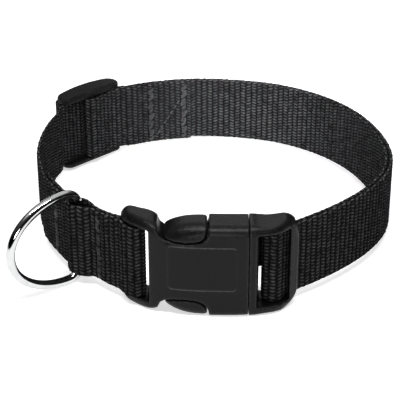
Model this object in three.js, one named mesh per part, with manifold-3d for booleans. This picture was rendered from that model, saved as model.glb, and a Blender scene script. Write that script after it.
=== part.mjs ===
// Adjustable dog collar: one band of webbing, a side release buckle, a D-ring and a slider.
// Millimetres, +Z up, +Y to the back, the buckle in front. Worn round the neck along Z.
import * as THREE from 'three';
import { mergeVertices } from 'three/addons/utils/BufferGeometryUtils.js';
import Module from 'manifold-3d';

const wasm = await Module();
wasm.setup();

// Driving dimensions: clearances and the webbing
const RUNNING_GAP = 0.3;
const MERGE_WITHIN = 1e-4;
const CUT_PAST = 1;
const CURVE_SEGMENTS = 5;
const WEBBING_WIDTH = 25;
const WEBBING_THICKNESS = 1.4;
const WEBBING_STEP = 2.6;
const WRAP_STEPS = 8;
const LINE_DIVISIONS = 1200;
const SEARCH_STEP = 0.1;
const LAYER_EASE = 4.1;

// Driving dimensions: the loop, measured on the line between its two layers
const LOOP_WIDTH = 127;
const LOOP_DEPTH = 129;
const SLIDER_AT_SHARE = 0.65;
const TAIL_LENGTH = 45.2;
const RING_FROM_SOCKET = 24.2;
const RING_TAIL_LENGTH = 28;

// Driving dimensions: the side release buckle
const BUCKLE_LENGTH = 58.8;
const BUCKLE_HEIGHT = 32.4;
const BUCKLE_THICKNESS = 12.6;
const BUCKLE_SWEEP = 11;
const BUCKLE_OFF_CENTRE = -1.9;
const BUCKLE_FORWARD = 9.2;
const BUCKLE_SLOT_PLAY = 0.8;
const BUCKLE_BAR_RADIUS = 2;
const BUCKLE_BAR_SIDES = 16;
const BUCKLE_CORNER = 2;
const BUCKLE_FACET = 2.4;
const SHELL_WALL = 1.8;
const SEAM_FROM_CENTRE = 13.1;
const SOCKET_BAR_FROM_END = 5.4;
const SOCKET_BAR_INSET = 2.7;
const SOCKET_SLOT_LENGTH = 10.4;
const SOCKET_WEB = 6.2;
const WINDOW_LENGTH = 12.4;
const WINDOW_DIP = 4;
const CLIP_PLATE = 2.35;
const CLIP_END_BAR = 2.8;
const CLIP_END_BAR_DEPTH = 3;
const CLIP_BAR_FROM_END = 8.3;
const CLIP_BAR_INSET = 6.2;
const CLIP_CORNER = 6;
const PRONG_HEIGHT = 3.2;
const PRONG_CREST_SHARE = 0.75;
const PRONG_SLOPE_SHARE = 0.35;
const PRONG_HOOK_SHARE = 0.8;
const GUIDE_HEIGHT = 5;
const GUIDE_THICKNESS = 3;
const PANEL_LENGTH = 23;
const PANEL_HEIGHT = 16;
const PANEL_RAISE = 0.35;
const PANEL_CORNER = 2.6;
const PANEL_UP = 1.6;
const PANEL_OFF_CENTRE = -1.7;

// Driving dimensions: the D-ring
const RING_WIRE_RADIUS = 1.55;
const RING_HALF_HEIGHT = 16;
const RING_LEG = 4.5;
const RING_REACH = 27;
const RING_CORNER = 3;
const RING_AZIMUTH = 219.5;
const RING_WELD_LENGTH = 4;
const RING_PLAY = 0.6;
const RING_SIDES = 10;
const RING_WELD_SIDES = 14;
const RING_STEPS = 84;
const RING_BOW_POINTS = 24;

// Driving dimensions: the slider
const SLIDER_LENGTH = 29;
const SLIDER_RAIL = 2.5;
const SLIDER_PLAY = 0.4;
const SLIDER_BAR = 2.6;
const SLIDER_CENTRE_BAR_RADIUS = 1.2;
const SLIDER_CENTRE_BAR_SIDES = 12;
const SLIDER_CENTRE_BAR_BACK = 1;
const SLIDER_END_BAR_OUT = 3.3;
const SLIDER_CENTRE_BAR_IN = 1;
const SLIDER_CORNER = 2;
const SLIDER_BOW = 1.2;
const SLIDER_BOW_STEPS = 6;
const SLIDER_END_BAR_SINK = 0.2;

// The loop's plan between the two buckle bars: across is a share of half the width, to the right,
// and deep is a share of the depth, to the back.
const LOOP_STATIONS = [
  { across: 0.518, deep: 0.066 },
  { across: 0.688, deep: 0.140 },
  { across: 0.843, deep: 0.229 },
  { across: 0.956, deep: 0.333 },
  { across: 1.000, deep: 0.453 },
  { across: 0.968, deep: 0.593 },
  { across: 0.861, deep: 0.740 },
  { across: 0.688, deep: 0.856 },
  { across: 0.446, deep: 0.945 },
  { across: 0.173, deep: 0.988 },
  { across: -0.102, deep: 1.000 },
  { across: -0.339, deep: 0.980 },
  { across: -0.535, deep: 0.940 },
  { across: -0.780, deep: 0.850 },
  { across: -0.921, deep: 0.746 },
  { across: -0.978, deep: 0.647 },
  { across: -1.000, deep: 0.515 },
  { across: -0.975, deep: 0.395 },
  { across: -0.901, deep: 0.287 },
  { across: -0.761, deep: 0.160 },
  { across: -0.709, deep: 0.122 },
  { across: -0.621, deep: 0.097 },
  { across: -0.534, deep: 0.055 },
];

// The buckle's plan: along is a share of half its length, setback a share of the sweep that its
// front falls back by, and thick a share of its thickness.
const BUCKLE_SECTIONS = [
  { along: -1.00, setback: 1.13, thick: 0.56 },
  { along: -0.94, setback: 0.99, thick: 0.62 },
  { along: -0.86, setback: 0.82, thick: 0.74 },
  { along: -0.76, setback: 0.58, thick: 0.83 },
  { along: -0.65, setback: 0.38, thick: 0.91 },
  { along: -0.46, setback: 0.18, thick: 0.95 },
  { along: -0.26, setback: 0.06, thick: 0.99 },
  { along: 0.03, setback: 0.00, thick: 1.00 },
  { along: 0.42, setback: 0.00, thick: 1.00 },
  { along: 0.69, setback: 0.13, thick: 0.90 },
  { along: 0.81, setback: 0.29, thick: 0.80 },
  { along: 0.90, setback: 0.52, thick: 0.66 },
  { along: 1.00, setback: 0.74, thick: 0.50 },
];

// Places worked out from the driving dimensions
const LAYER_PITCH = WEBBING_THICKNESS + RUNNING_GAP;
const MID_HEIGHT = WEBBING_WIDTH / 2;
const BUCKLE_SLOT_HALF = MID_HEIGHT + BUCKLE_SLOT_PLAY;
const BUCKLE_MID_HEIGHT = BUCKLE_SLOT_HALF - RUNNING_GAP;
const BUCKLE_HALF_HEIGHT = BUCKLE_HEIGHT / 2;
const BUCKLE_HALF_LENGTH = BUCKLE_LENGTH / 2;
const WRAP_RADIUS = BUCKLE_BAR_RADIUS + RUNNING_GAP + WEBBING_THICKNESS / 2;
const BUCKLE_LEFT = BUCKLE_OFF_CENTRE - BUCKLE_HALF_LENGTH;
const BUCKLE_RIGHT = BUCKLE_OFF_CENTRE + BUCKLE_HALF_LENGTH;
const SEAM_X = BUCKLE_OFF_CENTRE + SEAM_FROM_CENTRE;
const SOCKET_WALL_X = BUCKLE_LEFT + SOCKET_SLOT_LENGTH;
const CAVITY_LEFT = SOCKET_WALL_X + SOCKET_WEB;
const WINDOW_RIGHT = CAVITY_LEFT + WINDOW_LENGTH;
const CLIP_SLOT_LEFT = SEAM_X + RUNNING_GAP + CLIP_PLATE;
const CLIP_SLOT_RIGHT = BUCKLE_RIGHT - CLIP_END_BAR;
const RING_MID_HEIGHT = BUCKLE_MID_HEIGHT - BUCKLE_HALF_HEIGHT + RING_HALF_HEIGHT + RING_WIRE_RADIUS;

// A smooth reading of one column of a table, by the key column
function readTable(rows, key, column, at) {
  const place = THREE.MathUtils.clamp(at, rows[0][key], rows[rows.length - 1][key]);
  let i = 0;
  while (i < rows.length - 2 && rows[i + 1][key] < place) i += 1;
  const slope = (j) => {
    const low = rows[Math.max(j - 1, 0)];
    const high = rows[Math.min(j + 1, rows.length - 1)];
    return (high[column] - low[column]) / (high[key] - low[key]);
  };
  const span = rows[i + 1][key] - rows[i][key];
  const t = (place - rows[i][key]) / span;
  const a = 2 * t ** 3 - 3 * t ** 2 + 1;
  const b = t ** 3 - 2 * t ** 2 + t;
  const c = 3 * t ** 2 - 2 * t ** 3;
  const d = t ** 3 - t ** 2;
  return a * rows[i][column] + b * span * slope(i) + c * rows[i + 1][column] + d * span * slope(i + 1);
}

function buckleFront(x) {
  const along = (x - BUCKLE_OFF_CENTRE) / BUCKLE_HALF_LENGTH;
  return BUCKLE_SWEEP * readTable(BUCKLE_SECTIONS, 'along', 'setback', along) - BUCKLE_FORWARD;
}

function buckleBack(x) {
  const along = (x - BUCKLE_OFF_CENTRE) / BUCKLE_HALF_LENGTH;
  return buckleFront(x) + BUCKLE_THICKNESS * readTable(BUCKLE_SECTIONS, 'along', 'thick', along);
}

// Solids: joining and cutting
function solidOf(geometry) {
  const bare = geometry.index ? geometry.toNonIndexed() : geometry.clone();
  bare.deleteAttribute('normal');
  bare.deleteAttribute('uv');
  const merged = mergeVertices(bare, MERGE_WITHIN);
  const vertProperties = new Float32Array(merged.attributes.position.array);
  const triVerts = new Uint32Array(merged.index.array);
  return new wasm.Manifold(new wasm.Mesh({ numProp: 3, vertProperties, triVerts }));
}

function geometryOf(solid) {
  const mesh = solid.getMesh();
  const geometry = new THREE.BufferGeometry();
  geometry.setAttribute('position', new THREE.BufferAttribute(new Float32Array(mesh.vertProperties), 3));
  geometry.setIndex(new THREE.BufferAttribute(new Uint32Array(mesh.triVerts), 1));
  geometry.computeVertexNormals();
  return geometry;
}

// A plan outline stood up from one height to another
function standing(points, low, high) {
  const shape = new THREE.Shape(points.map(([x, y]) => new THREE.Vector2(x, y)));
  const geometry = new THREE.ExtrudeGeometry(shape, { depth: high - low, bevelEnabled: false });
  geometry.translate(0, 0, low);
  return geometry;
}

// An outline seen from the front, x and height, run from one depth to another
function fromFront(shape, front, back) {
  const run = { depth: back - front, bevelEnabled: false, curveSegments: CURVE_SEGMENTS };
  const geometry = new THREE.ExtrudeGeometry(shape, run);
  geometry.rotateX(Math.PI / 2);
  geometry.translate(0, back, 0);
  return geometry;
}

function uprightBar(x, y, radius, low, high, sides) {
  const geometry = new THREE.CylinderGeometry(radius, radius, high - low, sides);
  geometry.rotateX(Math.PI / 2);
  geometry.translate(x, y, (low + high) / 2);
  return geometry;
}

// The loop's line, from the clip's bar round the back to the socket's bar
const clipBar = new THREE.Vector2(
  BUCKLE_RIGHT - CLIP_BAR_FROM_END,
  buckleFront(BUCKLE_RIGHT - CLIP_BAR_FROM_END) + CLIP_BAR_INSET,
);
const socketBar = new THREE.Vector2(
  BUCKLE_LEFT + SOCKET_BAR_FROM_END,
  buckleFront(BUCKLE_LEFT + SOCKET_BAR_FROM_END) + SOCKET_BAR_INSET,
);
const loop = new THREE.CatmullRomCurve3([
  new THREE.Vector3(clipBar.x, clipBar.y, 0),
  ...LOOP_STATIONS.map((s) => new THREE.Vector3(s.across * LOOP_WIDTH / 2, s.deep * LOOP_DEPTH, 0)),
  new THREE.Vector3(socketBar.x, socketBar.y, 0),
], false, 'centripetal');
loop.arcLengthDivisions = LINE_DIVISIONS;
const LOOP_LENGTH = loop.getLength();

// A point beside the loop's line: out is measured away from the neck
function beside(distance, out) {
  const share = THREE.MathUtils.clamp(distance / LOOP_LENGTH, 0, 1);
  const point = loop.getPointAt(share);
  const tangent = loop.getTangentAt(share);
  return new THREE.Vector2(point.x + tangent.y * out, point.y - tangent.x * out);
}

// Where a point lies along and beside the loop's line, near a first guess
function locate(point, guess, reach) {
  let best = { distance: guess, out: 0, gap: Infinity };
  for (let distance = guess - reach; distance <= guess + reach; distance += SEARCH_STEP) {
    const on = beside(distance, 0);
    const gap = on.distanceTo(point);
    if (gap < best.gap) {
      const outward = beside(distance, 1).sub(on);
      best = { distance, out: point.clone().sub(on).dot(outward), gap };
    }
  }
  return best;
}

// The D-ring's bar and the slider's bars, placed on the loop's line
const ringAt = LOOP_LENGTH - RING_FROM_SOCKET;
const ringBar = beside(ringAt, 0);
const sliderAt = SLIDER_AT_SHARE * LOOP_LENGTH;
const sliderMid = beside(sliderAt, 0);
const sliderTurn = Math.atan2(
  beside(sliderAt + SLIDER_LENGTH / 2, 0).y - beside(sliderAt - SLIDER_LENGTH / 2, 0).y,
  beside(sliderAt + SLIDER_LENGTH / 2, 0).x - beside(sliderAt - SLIDER_LENGTH / 2, 0).x,
);
// In the slider's own frame u runs along the loop and v away from the neck
function onSlider(u, v) {
  const cos = Math.cos(sliderTurn);
  const sin = Math.sin(sliderTurn);
  return new THREE.Vector2(sliderMid.x + cos * u + sin * v, sliderMid.y + sin * u - cos * v);
}
const END_BAR_U = SLIDER_LENGTH / 2 - SLIDER_BAR / 2;
const centreBar = onSlider(SLIDER_CENTRE_BAR_BACK, -SLIDER_CENTRE_BAR_IN);
const centreBarAt = locate(centreBar, sliderAt, SLIDER_LENGTH);
const nearBarAt = locate(onSlider(-END_BAR_U, SLIDER_END_BAR_OUT), sliderAt, SLIDER_LENGTH);
const farBarAt = locate(onSlider(END_BAR_U, SLIDER_END_BAR_OUT), sliderAt, SLIDER_LENGTH);

// How far out each layer runs, as a smooth reading of a few places along the loop
function layer(knots) {
  return (distance) => {
    if (distance <= knots[0].at) return knots[0].out;
    const last = knots[knots.length - 1];
    if (distance >= last.at) return last.out;
    let i = 0;
    while (knots[i + 1].at < distance) i += 1;
    const t = (distance - knots[i].at) / (knots[i + 1].at - knots[i].at);
    return THREE.MathUtils.lerp(knots[i].out, knots[i + 1].out, t * t * (3 - 2 * t));
  };
}
const CENTRE_WRAP = SLIDER_CENTRE_BAR_RADIUS + RUNNING_GAP + WEBBING_THICKNESS / 2;
const RING_SWELL = RING_WIRE_RADIUS + RING_PLAY + WEBBING_THICKNESS / 2;
const UNDER_END_BAR = SLIDER_BAR / 2 + RUNNING_GAP + WEBBING_THICKNESS / 2;
const SETTLE = LAYER_EASE * LAYER_PITCH;
const CLIP_SETTLE = CLIP_BAR_FROM_END - CLIP_END_BAR + 2 * RUNNING_GAP;
const outerLayer = layer([
  { at: 0, out: WRAP_RADIUS },
  { at: CLIP_SETTLE, out: LAYER_PITCH / 2 },
  { at: nearBarAt.distance - SLIDER_BAR - SETTLE / 2, out: LAYER_PITCH / 2 },
  { at: nearBarAt.distance - SLIDER_BAR / 2, out: nearBarAt.out - UNDER_END_BAR },
  { at: nearBarAt.distance + SLIDER_BAR / 2, out: nearBarAt.out - UNDER_END_BAR },
  { at: centreBarAt.distance - CENTRE_WRAP, out: centreBarAt.out + CENTRE_WRAP + LAYER_PITCH },
  { at: centreBarAt.distance + CENTRE_WRAP / 2, out: centreBarAt.out + CENTRE_WRAP + LAYER_PITCH },
  { at: farBarAt.distance - SLIDER_BAR / 2, out: farBarAt.out - UNDER_END_BAR },
  { at: farBarAt.distance + SLIDER_BAR / 2, out: farBarAt.out - UNDER_END_BAR },
  { at: farBarAt.distance + SLIDER_BAR + SETTLE, out: 0 },
  { at: ringAt - RING_TAIL_LENGTH - SETTLE, out: 0 },
  { at: ringAt - RING_TAIL_LENGTH, out: LAYER_PITCH / 2 },
  { at: ringAt - SETTLE, out: LAYER_PITCH / 2 },
  { at: ringAt - RING_WIRE_RADIUS, out: RING_SWELL },
  { at: ringAt + RING_WIRE_RADIUS, out: RING_SWELL },
  { at: ringAt + SETTLE, out: LAYER_PITCH / 2 },
  { at: LOOP_LENGTH - SETTLE, out: LAYER_PITCH / 2 },
  { at: LOOP_LENGTH, out: WRAP_RADIUS },
]);
const innerLayer = layer([
  { at: 0, out: -WRAP_RADIUS },
  { at: SETTLE + CLIP_END_BAR, out: -LAYER_PITCH / 2 },
  { at: nearBarAt.distance - SLIDER_BAR - SETTLE / 2, out: -LAYER_PITCH / 2 },
  { at: nearBarAt.distance, out: nearBarAt.out - UNDER_END_BAR - LAYER_PITCH },
  { at: centreBarAt.distance, out: centreBarAt.out + CENTRE_WRAP },
]);
const tailLayer = layer([
  { at: nearBarAt.distance - SLIDER_BAR - SETTLE / 2, out: -1.5 * LAYER_PITCH },
  { at: nearBarAt.distance, out: nearBarAt.out - UNDER_END_BAR - 2 * LAYER_PITCH },
  { at: centreBarAt.distance, out: centreBarAt.out - CENTRE_WRAP },
]);
const ringTailLayer = layer([
  { at: ringAt - SETTLE, out: -LAYER_PITCH / 2 },
  { at: ringAt - RING_WIRE_RADIUS, out: -RING_SWELL },
  { at: ringAt + RING_WIRE_RADIUS, out: -RING_SWELL },
  { at: ringAt + SETTLE, out: -LAYER_PITCH / 2 },
  { at: LOOP_LENGTH - SETTLE, out: -LAYER_PITCH / 2 },
  { at: LOOP_LENGTH, out: -WRAP_RADIUS },
]);

// The band's middle line, one stretch after the other
function stretch(from, to, out) {
  const count = Math.ceil(Math.abs(to - from) / WEBBING_STEP);
  return Array.from({ length: count + 1 }, (_, i) => {
    const distance = THREE.MathUtils.lerp(from, to, i / count);
    return beside(distance, out(distance));
  });
}

// Half a turn round a bar, from one side of the line to the other, past the given end of the line
function wrap(centre, distance, radius, startSide, pastEnd) {
  const outward = beside(distance, 1).sub(beside(distance, 0)).normalize();
  const forward = new THREE.Vector2(-outward.y, outward.x).multiplyScalar(pastEnd);
  return Array.from({ length: WRAP_STEPS - 1 }, (_, i) => {
    const angle = Math.PI * (i + 1) / WRAP_STEPS;
    return centre.clone()
      .addScaledVector(outward, startSide * radius * Math.cos(angle))
      .addScaledVector(forward, radius * Math.sin(angle));
  });
}

function webbingLine() {
  return [
    ...stretch(ringAt - RING_TAIL_LENGTH, LOOP_LENGTH, ringTailLayer),
    ...wrap(socketBar, LOOP_LENGTH, WRAP_RADIUS, -1, 1),
    ...stretch(LOOP_LENGTH, 0, outerLayer),
    ...wrap(clipBar, 0, WRAP_RADIUS, 1, -1),
    ...stretch(0, centreBarAt.distance, innerLayer),
    ...wrap(centreBar, centreBarAt.distance, CENTRE_WRAP, 1, 1),
    ...stretch(centreBarAt.distance, centreBarAt.distance - TAIL_LENGTH, tailLayer),
  ];
}

// The band, as thick as the webbing on either side of its middle line
function webbingGeometry() {
  const line = webbingLine();
  const half = WEBBING_THICKNESS / 2;
  const side = (sign) => line.map((point, i) => {
    const before = line[Math.max(i - 1, 0)];
    const after = line[Math.min(i + 1, line.length - 1)];
    const along = after.clone().sub(before).normalize();
    return [point.x - sign * half * along.y, point.y + sign * half * along.x];
  });
  return standing([...side(1), ...side(-1).reverse()], 0, WEBBING_WIDTH);
}

// The buckle's body between two places, drawn in from its front and back by the given walls
function buckleSlab(left, right, frontIn, backIn, low, high) {
  const count = Math.max(2, Math.round((right - left) / BUCKLE_FACET));
  const stops = Array.from({ length: count + 1 }, (_, i) => THREE.MathUtils.lerp(left, right, i / count));
  const points = [
    ...stops.map((x) => [x, buckleFront(x) + frontIn]),
    ...stops.reverse().map((x) => [x, buckleBack(x) - backIn]),
  ];
  return solidOf(standing(points, low, high));
}

const FRONT_LIMIT = -BUCKLE_FORWARD - BUCKLE_THICKNESS;
const BACK_LIMIT = BUCKLE_SWEEP + BUCKLE_THICKNESS;
const BUCKLE_LOW = BUCKLE_MID_HEIGHT - BUCKLE_HALF_HEIGHT;
const BUCKLE_HIGH = BUCKLE_MID_HEIGHT + BUCKLE_HALF_HEIGHT;

// Seen from the front, the same outline above and below the buckle's middle
function mirroredOutline(upper) {
  const shape = new THREE.Shape();
  const above = upper.map(([x, h]) => new THREE.Vector2(x, BUCKLE_MID_HEIGHT + h));
  const below = upper.map(([x, h]) => new THREE.Vector2(x, BUCKLE_MID_HEIGHT - h)).reverse();
  shape.setFromPoints([...below, ...above]);
  return shape;
}

function socketOutline() {
  const full = BUCKLE_HALF_HEIGHT;
  const dipped = full - WINDOW_DIP;
  return mirroredOutline([
    [SEAM_X, full],
    [WINDOW_RIGHT + WINDOW_DIP / 3, full],
    [WINDOW_RIGHT, full - WINDOW_DIP / 3],
    [WINDOW_RIGHT - WINDOW_DIP / 2, dipped + WINDOW_DIP / 8],
    [WINDOW_RIGHT - WINDOW_DIP, dipped],
    [CAVITY_LEFT, dipped],
    [CAVITY_LEFT - SOCKET_WEB / 4, dipped + WINDOW_DIP / 8],
    [CAVITY_LEFT - SOCKET_WEB / 2, full - WINDOW_DIP / 2],
    [SOCKET_WALL_X, full - WINDOW_DIP / 8],
    [SOCKET_WALL_X - SOCKET_SLOT_LENGTH / 3, full],
    [BUCKLE_LEFT + BUCKLE_CORNER, full],
    [BUCKLE_LEFT, full - BUCKLE_CORNER],
  ]);
}

function panelOutline() {
  const x = BUCKLE_OFF_CENTRE + PANEL_OFF_CENTRE - PANEL_LENGTH / 2;
  const low = BUCKLE_MID_HEIGHT + PANEL_UP - PANEL_HEIGHT / 2;
  const shape = new THREE.Shape();
  shape.moveTo(x + PANEL_CORNER, low);
  shape.lineTo(x + PANEL_LENGTH - PANEL_CORNER, low);
  shape.quadraticCurveTo(x + PANEL_LENGTH, low, x + PANEL_LENGTH, low + PANEL_CORNER);
  shape.lineTo(x + PANEL_LENGTH, low + PANEL_HEIGHT - PANEL_CORNER);
  shape.quadraticCurveTo(x + PANEL_LENGTH, low + PANEL_HEIGHT, x + PANEL_LENGTH - PANEL_CORNER, low + PANEL_HEIGHT);
  shape.lineTo(x + PANEL_CORNER, low + PANEL_HEIGHT);
  shape.quadraticCurveTo(x, low + PANEL_HEIGHT, x, low + PANEL_HEIGHT - PANEL_CORNER);
  shape.lineTo(x, low + PANEL_CORNER);
  shape.quadraticCurveTo(x, low, x + PANEL_CORNER, low);
  return shape;
}

// The socket: a hollow shell with press windows above and below, and an open frame with its bar
function socketGeometry() {
  const block = buckleSlab(BUCKLE_LEFT, SEAM_X, 0, 0, BUCKLE_LOW, BUCKLE_HIGH);
  const outline = solidOf(fromFront(socketOutline(), FRONT_LIMIT, BACK_LIMIT));
  const cavity = buckleSlab(
    CAVITY_LEFT, SEAM_X + RUNNING_GAP, SHELL_WALL, SHELL_WALL, BUCKLE_LOW + SHELL_WALL, BUCKLE_HIGH - SHELL_WALL,
  );
  const slot = buckleSlab(
    BUCKLE_LEFT - CUT_PAST, SOCKET_WALL_X, -BUCKLE_THICKNESS, -BUCKLE_THICKNESS,
    BUCKLE_MID_HEIGHT - BUCKLE_SLOT_HALF, BUCKLE_MID_HEIGHT + BUCKLE_SLOT_HALF,
  );
  const bar = solidOf(uprightBar(
    socketBar.x, socketBar.y, BUCKLE_BAR_RADIUS,
    BUCKLE_MID_HEIGHT - BUCKLE_SLOT_HALF - RUNNING_GAP, BUCKLE_MID_HEIGHT + BUCKLE_SLOT_HALF + RUNNING_GAP,
    BUCKLE_BAR_SIDES,
  ));
  const panelRange = buckleSlab(BUCKLE_LEFT, SEAM_X, -PANEL_RAISE, BUCKLE_THICKNESS / 2, BUCKLE_LOW, BUCKLE_HIGH);
  const panel = solidOf(fromFront(panelOutline(), FRONT_LIMIT, BACK_LIMIT)).intersect(panelRange);
  const hollow = block.intersect(outline).add(panel).subtract(cavity);
  return geometryOf(hollow.subtract(slot).add(bar));
}

// One press tab and its prong, above the middle; the lower one is its mirror image
function prong() {
  const room = SHELL_WALL + RUNNING_GAP;
  const top = BUCKLE_HALF_HEIGHT - room;
  const root = top - PRONG_HEIGHT;
  const left = CAVITY_LEFT + RUNNING_GAP;
  const right = WINDOW_RIGHT - RUNNING_GAP - SHELL_WALL / 2;
  const reach = right - left;
  const outline = new THREE.Shape([
    [SEAM_X + RUNNING_GAP + CLIP_PLATE / 2, root],
    [SEAM_X + RUNNING_GAP + CLIP_PLATE / 2, top],
    [right, top],
    [right, BUCKLE_HALF_HEIGHT - SHELL_WALL / 2],
    [left + reach * PRONG_CREST_SHARE, BUCKLE_HALF_HEIGHT],
    [left + reach * PRONG_SLOPE_SHARE, BUCKLE_HALF_HEIGHT - WINDOW_DIP / 4],
    [left, BUCKLE_HALF_HEIGHT - WINDOW_DIP],
    [left, root - PRONG_HEIGHT / 2],
    [left + reach * PRONG_HOOK_SHARE, root - PRONG_HEIGHT / 2],
    [right, root],
  ].map(([x, h]) => new THREE.Vector2(x, BUCKLE_MID_HEIGHT + h)));
  const walls = buckleSlab(CAVITY_LEFT, CLIP_SLOT_LEFT, room, room, BUCKLE_LOW, BUCKLE_HIGH);
  return solidOf(fromFront(outline, FRONT_LIMIT, BACK_LIMIT)).intersect(walls);
}

function mirrorUpDown(solid) {
  const geometry = geometryOf(solid);
  geometry.translate(0, 0, -BUCKLE_MID_HEIGHT);
  geometry.scale(1, 1, -1);
  geometry.translate(0, 0, BUCKLE_MID_HEIGHT);
  const index = geometry.index.array;
  for (let i = 0; i < index.length; i += 3) [index[i + 1], index[i + 2]] = [index[i + 2], index[i + 1]];
  return solidOf(geometry);
}

function clipOutline() {
  const full = BUCKLE_HALF_HEIGHT;
  const corner = Array.from({ length: CURVE_SEGMENTS + 1 }, (_, i) => {
    const angle = Math.PI / 2 * i / CURVE_SEGMENTS;
    return [BUCKLE_RIGHT - CLIP_CORNER * (1 - Math.cos(angle)), full - CLIP_CORNER * (1 - Math.sin(angle))];
  });
  return mirroredOutline([...corner, [SEAM_X + RUNNING_GAP, full]]);
}

// The clip: a frame with an end bar and an inner bar, and two sprung prongs inside the socket
function clipGeometry() {
  const left = SEAM_X + RUNNING_GAP;
  const low = BUCKLE_MID_HEIGHT - BUCKLE_SLOT_HALF;
  const high = BUCKLE_MID_HEIGHT + BUCKLE_SLOT_HALF;
  const block = buckleSlab(left, BUCKLE_RIGHT, 0, 0, BUCKLE_LOW, BUCKLE_HIGH);
  const outline = solidOf(fromFront(clipOutline(), FRONT_LIMIT, BACK_LIMIT));
  const slot = buckleSlab(CLIP_SLOT_LEFT, CLIP_SLOT_RIGHT, -BUCKLE_THICKNESS, -BUCKLE_THICKNESS, low, high);
  const behindEndBar = buckleSlab(
    CLIP_SLOT_LEFT, BUCKLE_RIGHT + CUT_PAST, CLIP_END_BAR_DEPTH, -BUCKLE_THICKNESS, low, high,
  );
  const bar = solidOf(uprightBar(
    clipBar.x, clipBar.y, BUCKLE_BAR_RADIUS, low - RUNNING_GAP, high + RUNNING_GAP, BUCKLE_BAR_SIDES,
  ));
  const middle = (buckleFront(SEAM_X) + buckleBack(SEAM_X)) / 2;
  const guide = new THREE.BoxGeometry(SEAM_X - WINDOW_RIGHT + CLIP_PLATE, GUIDE_THICKNESS, GUIDE_HEIGHT);
  guide.translate((SEAM_X + WINDOW_RIGHT + CLIP_PLATE) / 2, middle, BUCKLE_MID_HEIGHT);
  const upper = prong();
  const frame = block.intersect(outline).subtract(slot).subtract(behindEndBar).add(bar);
  return geometryOf(frame.add(upper).add(mirrorUpDown(upper)).add(solidOf(guide)));
}

// The D-ring's wire, from one side of its weld round the bow to the other, in its own frame:
// x away from the bar and y up the bar
function ringPath() {
  const path = new THREE.CurvePath();
  const point = (x, y) => new THREE.Vector3(x, y, 0);
  const half = RING_HALF_HEIGHT;
  const weld = RING_WELD_LENGTH / 4;
  path.add(new THREE.LineCurve3(point(0, weld), point(0, half - RING_CORNER)));
  path.add(new THREE.QuadraticBezierCurve3(point(0, half - RING_CORNER), point(0, half), point(RING_CORNER, half)));
  path.add(new THREE.LineCurve3(point(RING_CORNER, half), point(RING_LEG, half)));
  const bow = Array.from({ length: RING_BOW_POINTS + 1 }, (_, i) => {
    const angle = Math.PI / 2 - Math.PI * i / RING_BOW_POINTS;
    return point(RING_LEG + (RING_REACH - RING_LEG) * Math.cos(angle), half * Math.sin(angle));
  });
  path.add(new THREE.CatmullRomCurve3(bow));
  path.add(new THREE.LineCurve3(point(RING_LEG, -half), point(RING_CORNER, -half)));
  path.add(new THREE.QuadraticBezierCurve3(point(RING_CORNER, -half), point(0, -half), point(0, RING_CORNER - half)));
  path.add(new THREE.LineCurve3(point(0, RING_CORNER - half), point(0, -weld)));
  return path;
}

function ringGeometry() {
  const section = new THREE.Shape();
  for (let i = 0; i < RING_SIDES; i += 1) {
    const angle = 2 * Math.PI * (i + 0.5) / RING_SIDES;
    const place = [RING_WIRE_RADIUS * Math.cos(angle), RING_WIRE_RADIUS * Math.sin(angle)];
    if (i === 0) section.moveTo(...place);
    else section.lineTo(...place);
  }
  section.closePath();
  const wire = new THREE.ExtrudeGeometry(section, { steps: RING_STEPS, extrudePath: ringPath(), bevelEnabled: false });
  const weld = new THREE.CylinderGeometry(RING_WIRE_RADIUS, RING_WIRE_RADIUS, RING_WELD_LENGTH, RING_WELD_SIDES);
  const geometry = geometryOf(solidOf(wire).add(solidOf(weld)));
  geometry.rotateX(Math.PI / 2);
  geometry.rotateZ(THREE.MathUtils.degToRad(RING_AZIMUTH));
  return geometry;
}

// The slider: two rails above and below the webbing, two end bars and a round centre bar
function sliderGeometry() {
  const half = SLIDER_LENGTH / 2;
  const inner = -SLIDER_CENTRE_BAR_IN - SLIDER_CENTRE_BAR_RADIUS;
  const outer = SLIDER_END_BAR_OUT + SLIDER_BAR / 2;
  const bow = Array.from({ length: SLIDER_BOW_STEPS + 1 }, (_, i) => {
    const side = 2 * i / SLIDER_BOW_STEPS - 1;
    return [side * (half - SLIDER_CORNER), outer + SLIDER_BOW * (1 - side ** 2)];
  });
  const plan = [
    [-half, outer - SLIDER_CORNER], ...bow,
    [half, outer - SLIDER_CORNER], [half - SLIDER_CORNER, inner], [-half + SLIDER_CORNER, inner],
  ].map(([u, v]) => onSlider(u, v).toArray());
  const endBar = (u) => [
    [u - SLIDER_BAR / 2, outer], [u - SLIDER_BAR / 2, outer - SLIDER_BAR],
    [u + SLIDER_BAR / 2, outer - SLIDER_BAR], [u + SLIDER_BAR / 2, outer],
  ].map(([a, v]) => onSlider(a, v).toArray());
  const low = -SLIDER_PLAY;
  const high = WEBBING_WIDTH + SLIDER_PLAY;
  const sunk = SLIDER_RAIL / 2;
  let solid = solidOf(standing(plan, low - SLIDER_RAIL, low)).add(solidOf(standing(plan, high, high + SLIDER_RAIL)));
  for (const u of [SLIDER_END_BAR_SINK - END_BAR_U, END_BAR_U - SLIDER_END_BAR_SINK]) {
    solid = solid.add(solidOf(standing(endBar(u), low - sunk, high + sunk)));
  }
  return geometryOf(solid.add(solidOf(uprightBar(
    centreBar.x, centreBar.y, SLIDER_CENTRE_BAR_RADIUS, low - sunk, high + sunk, SLIDER_CENTRE_BAR_SIDES,
  ))));
}

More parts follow.
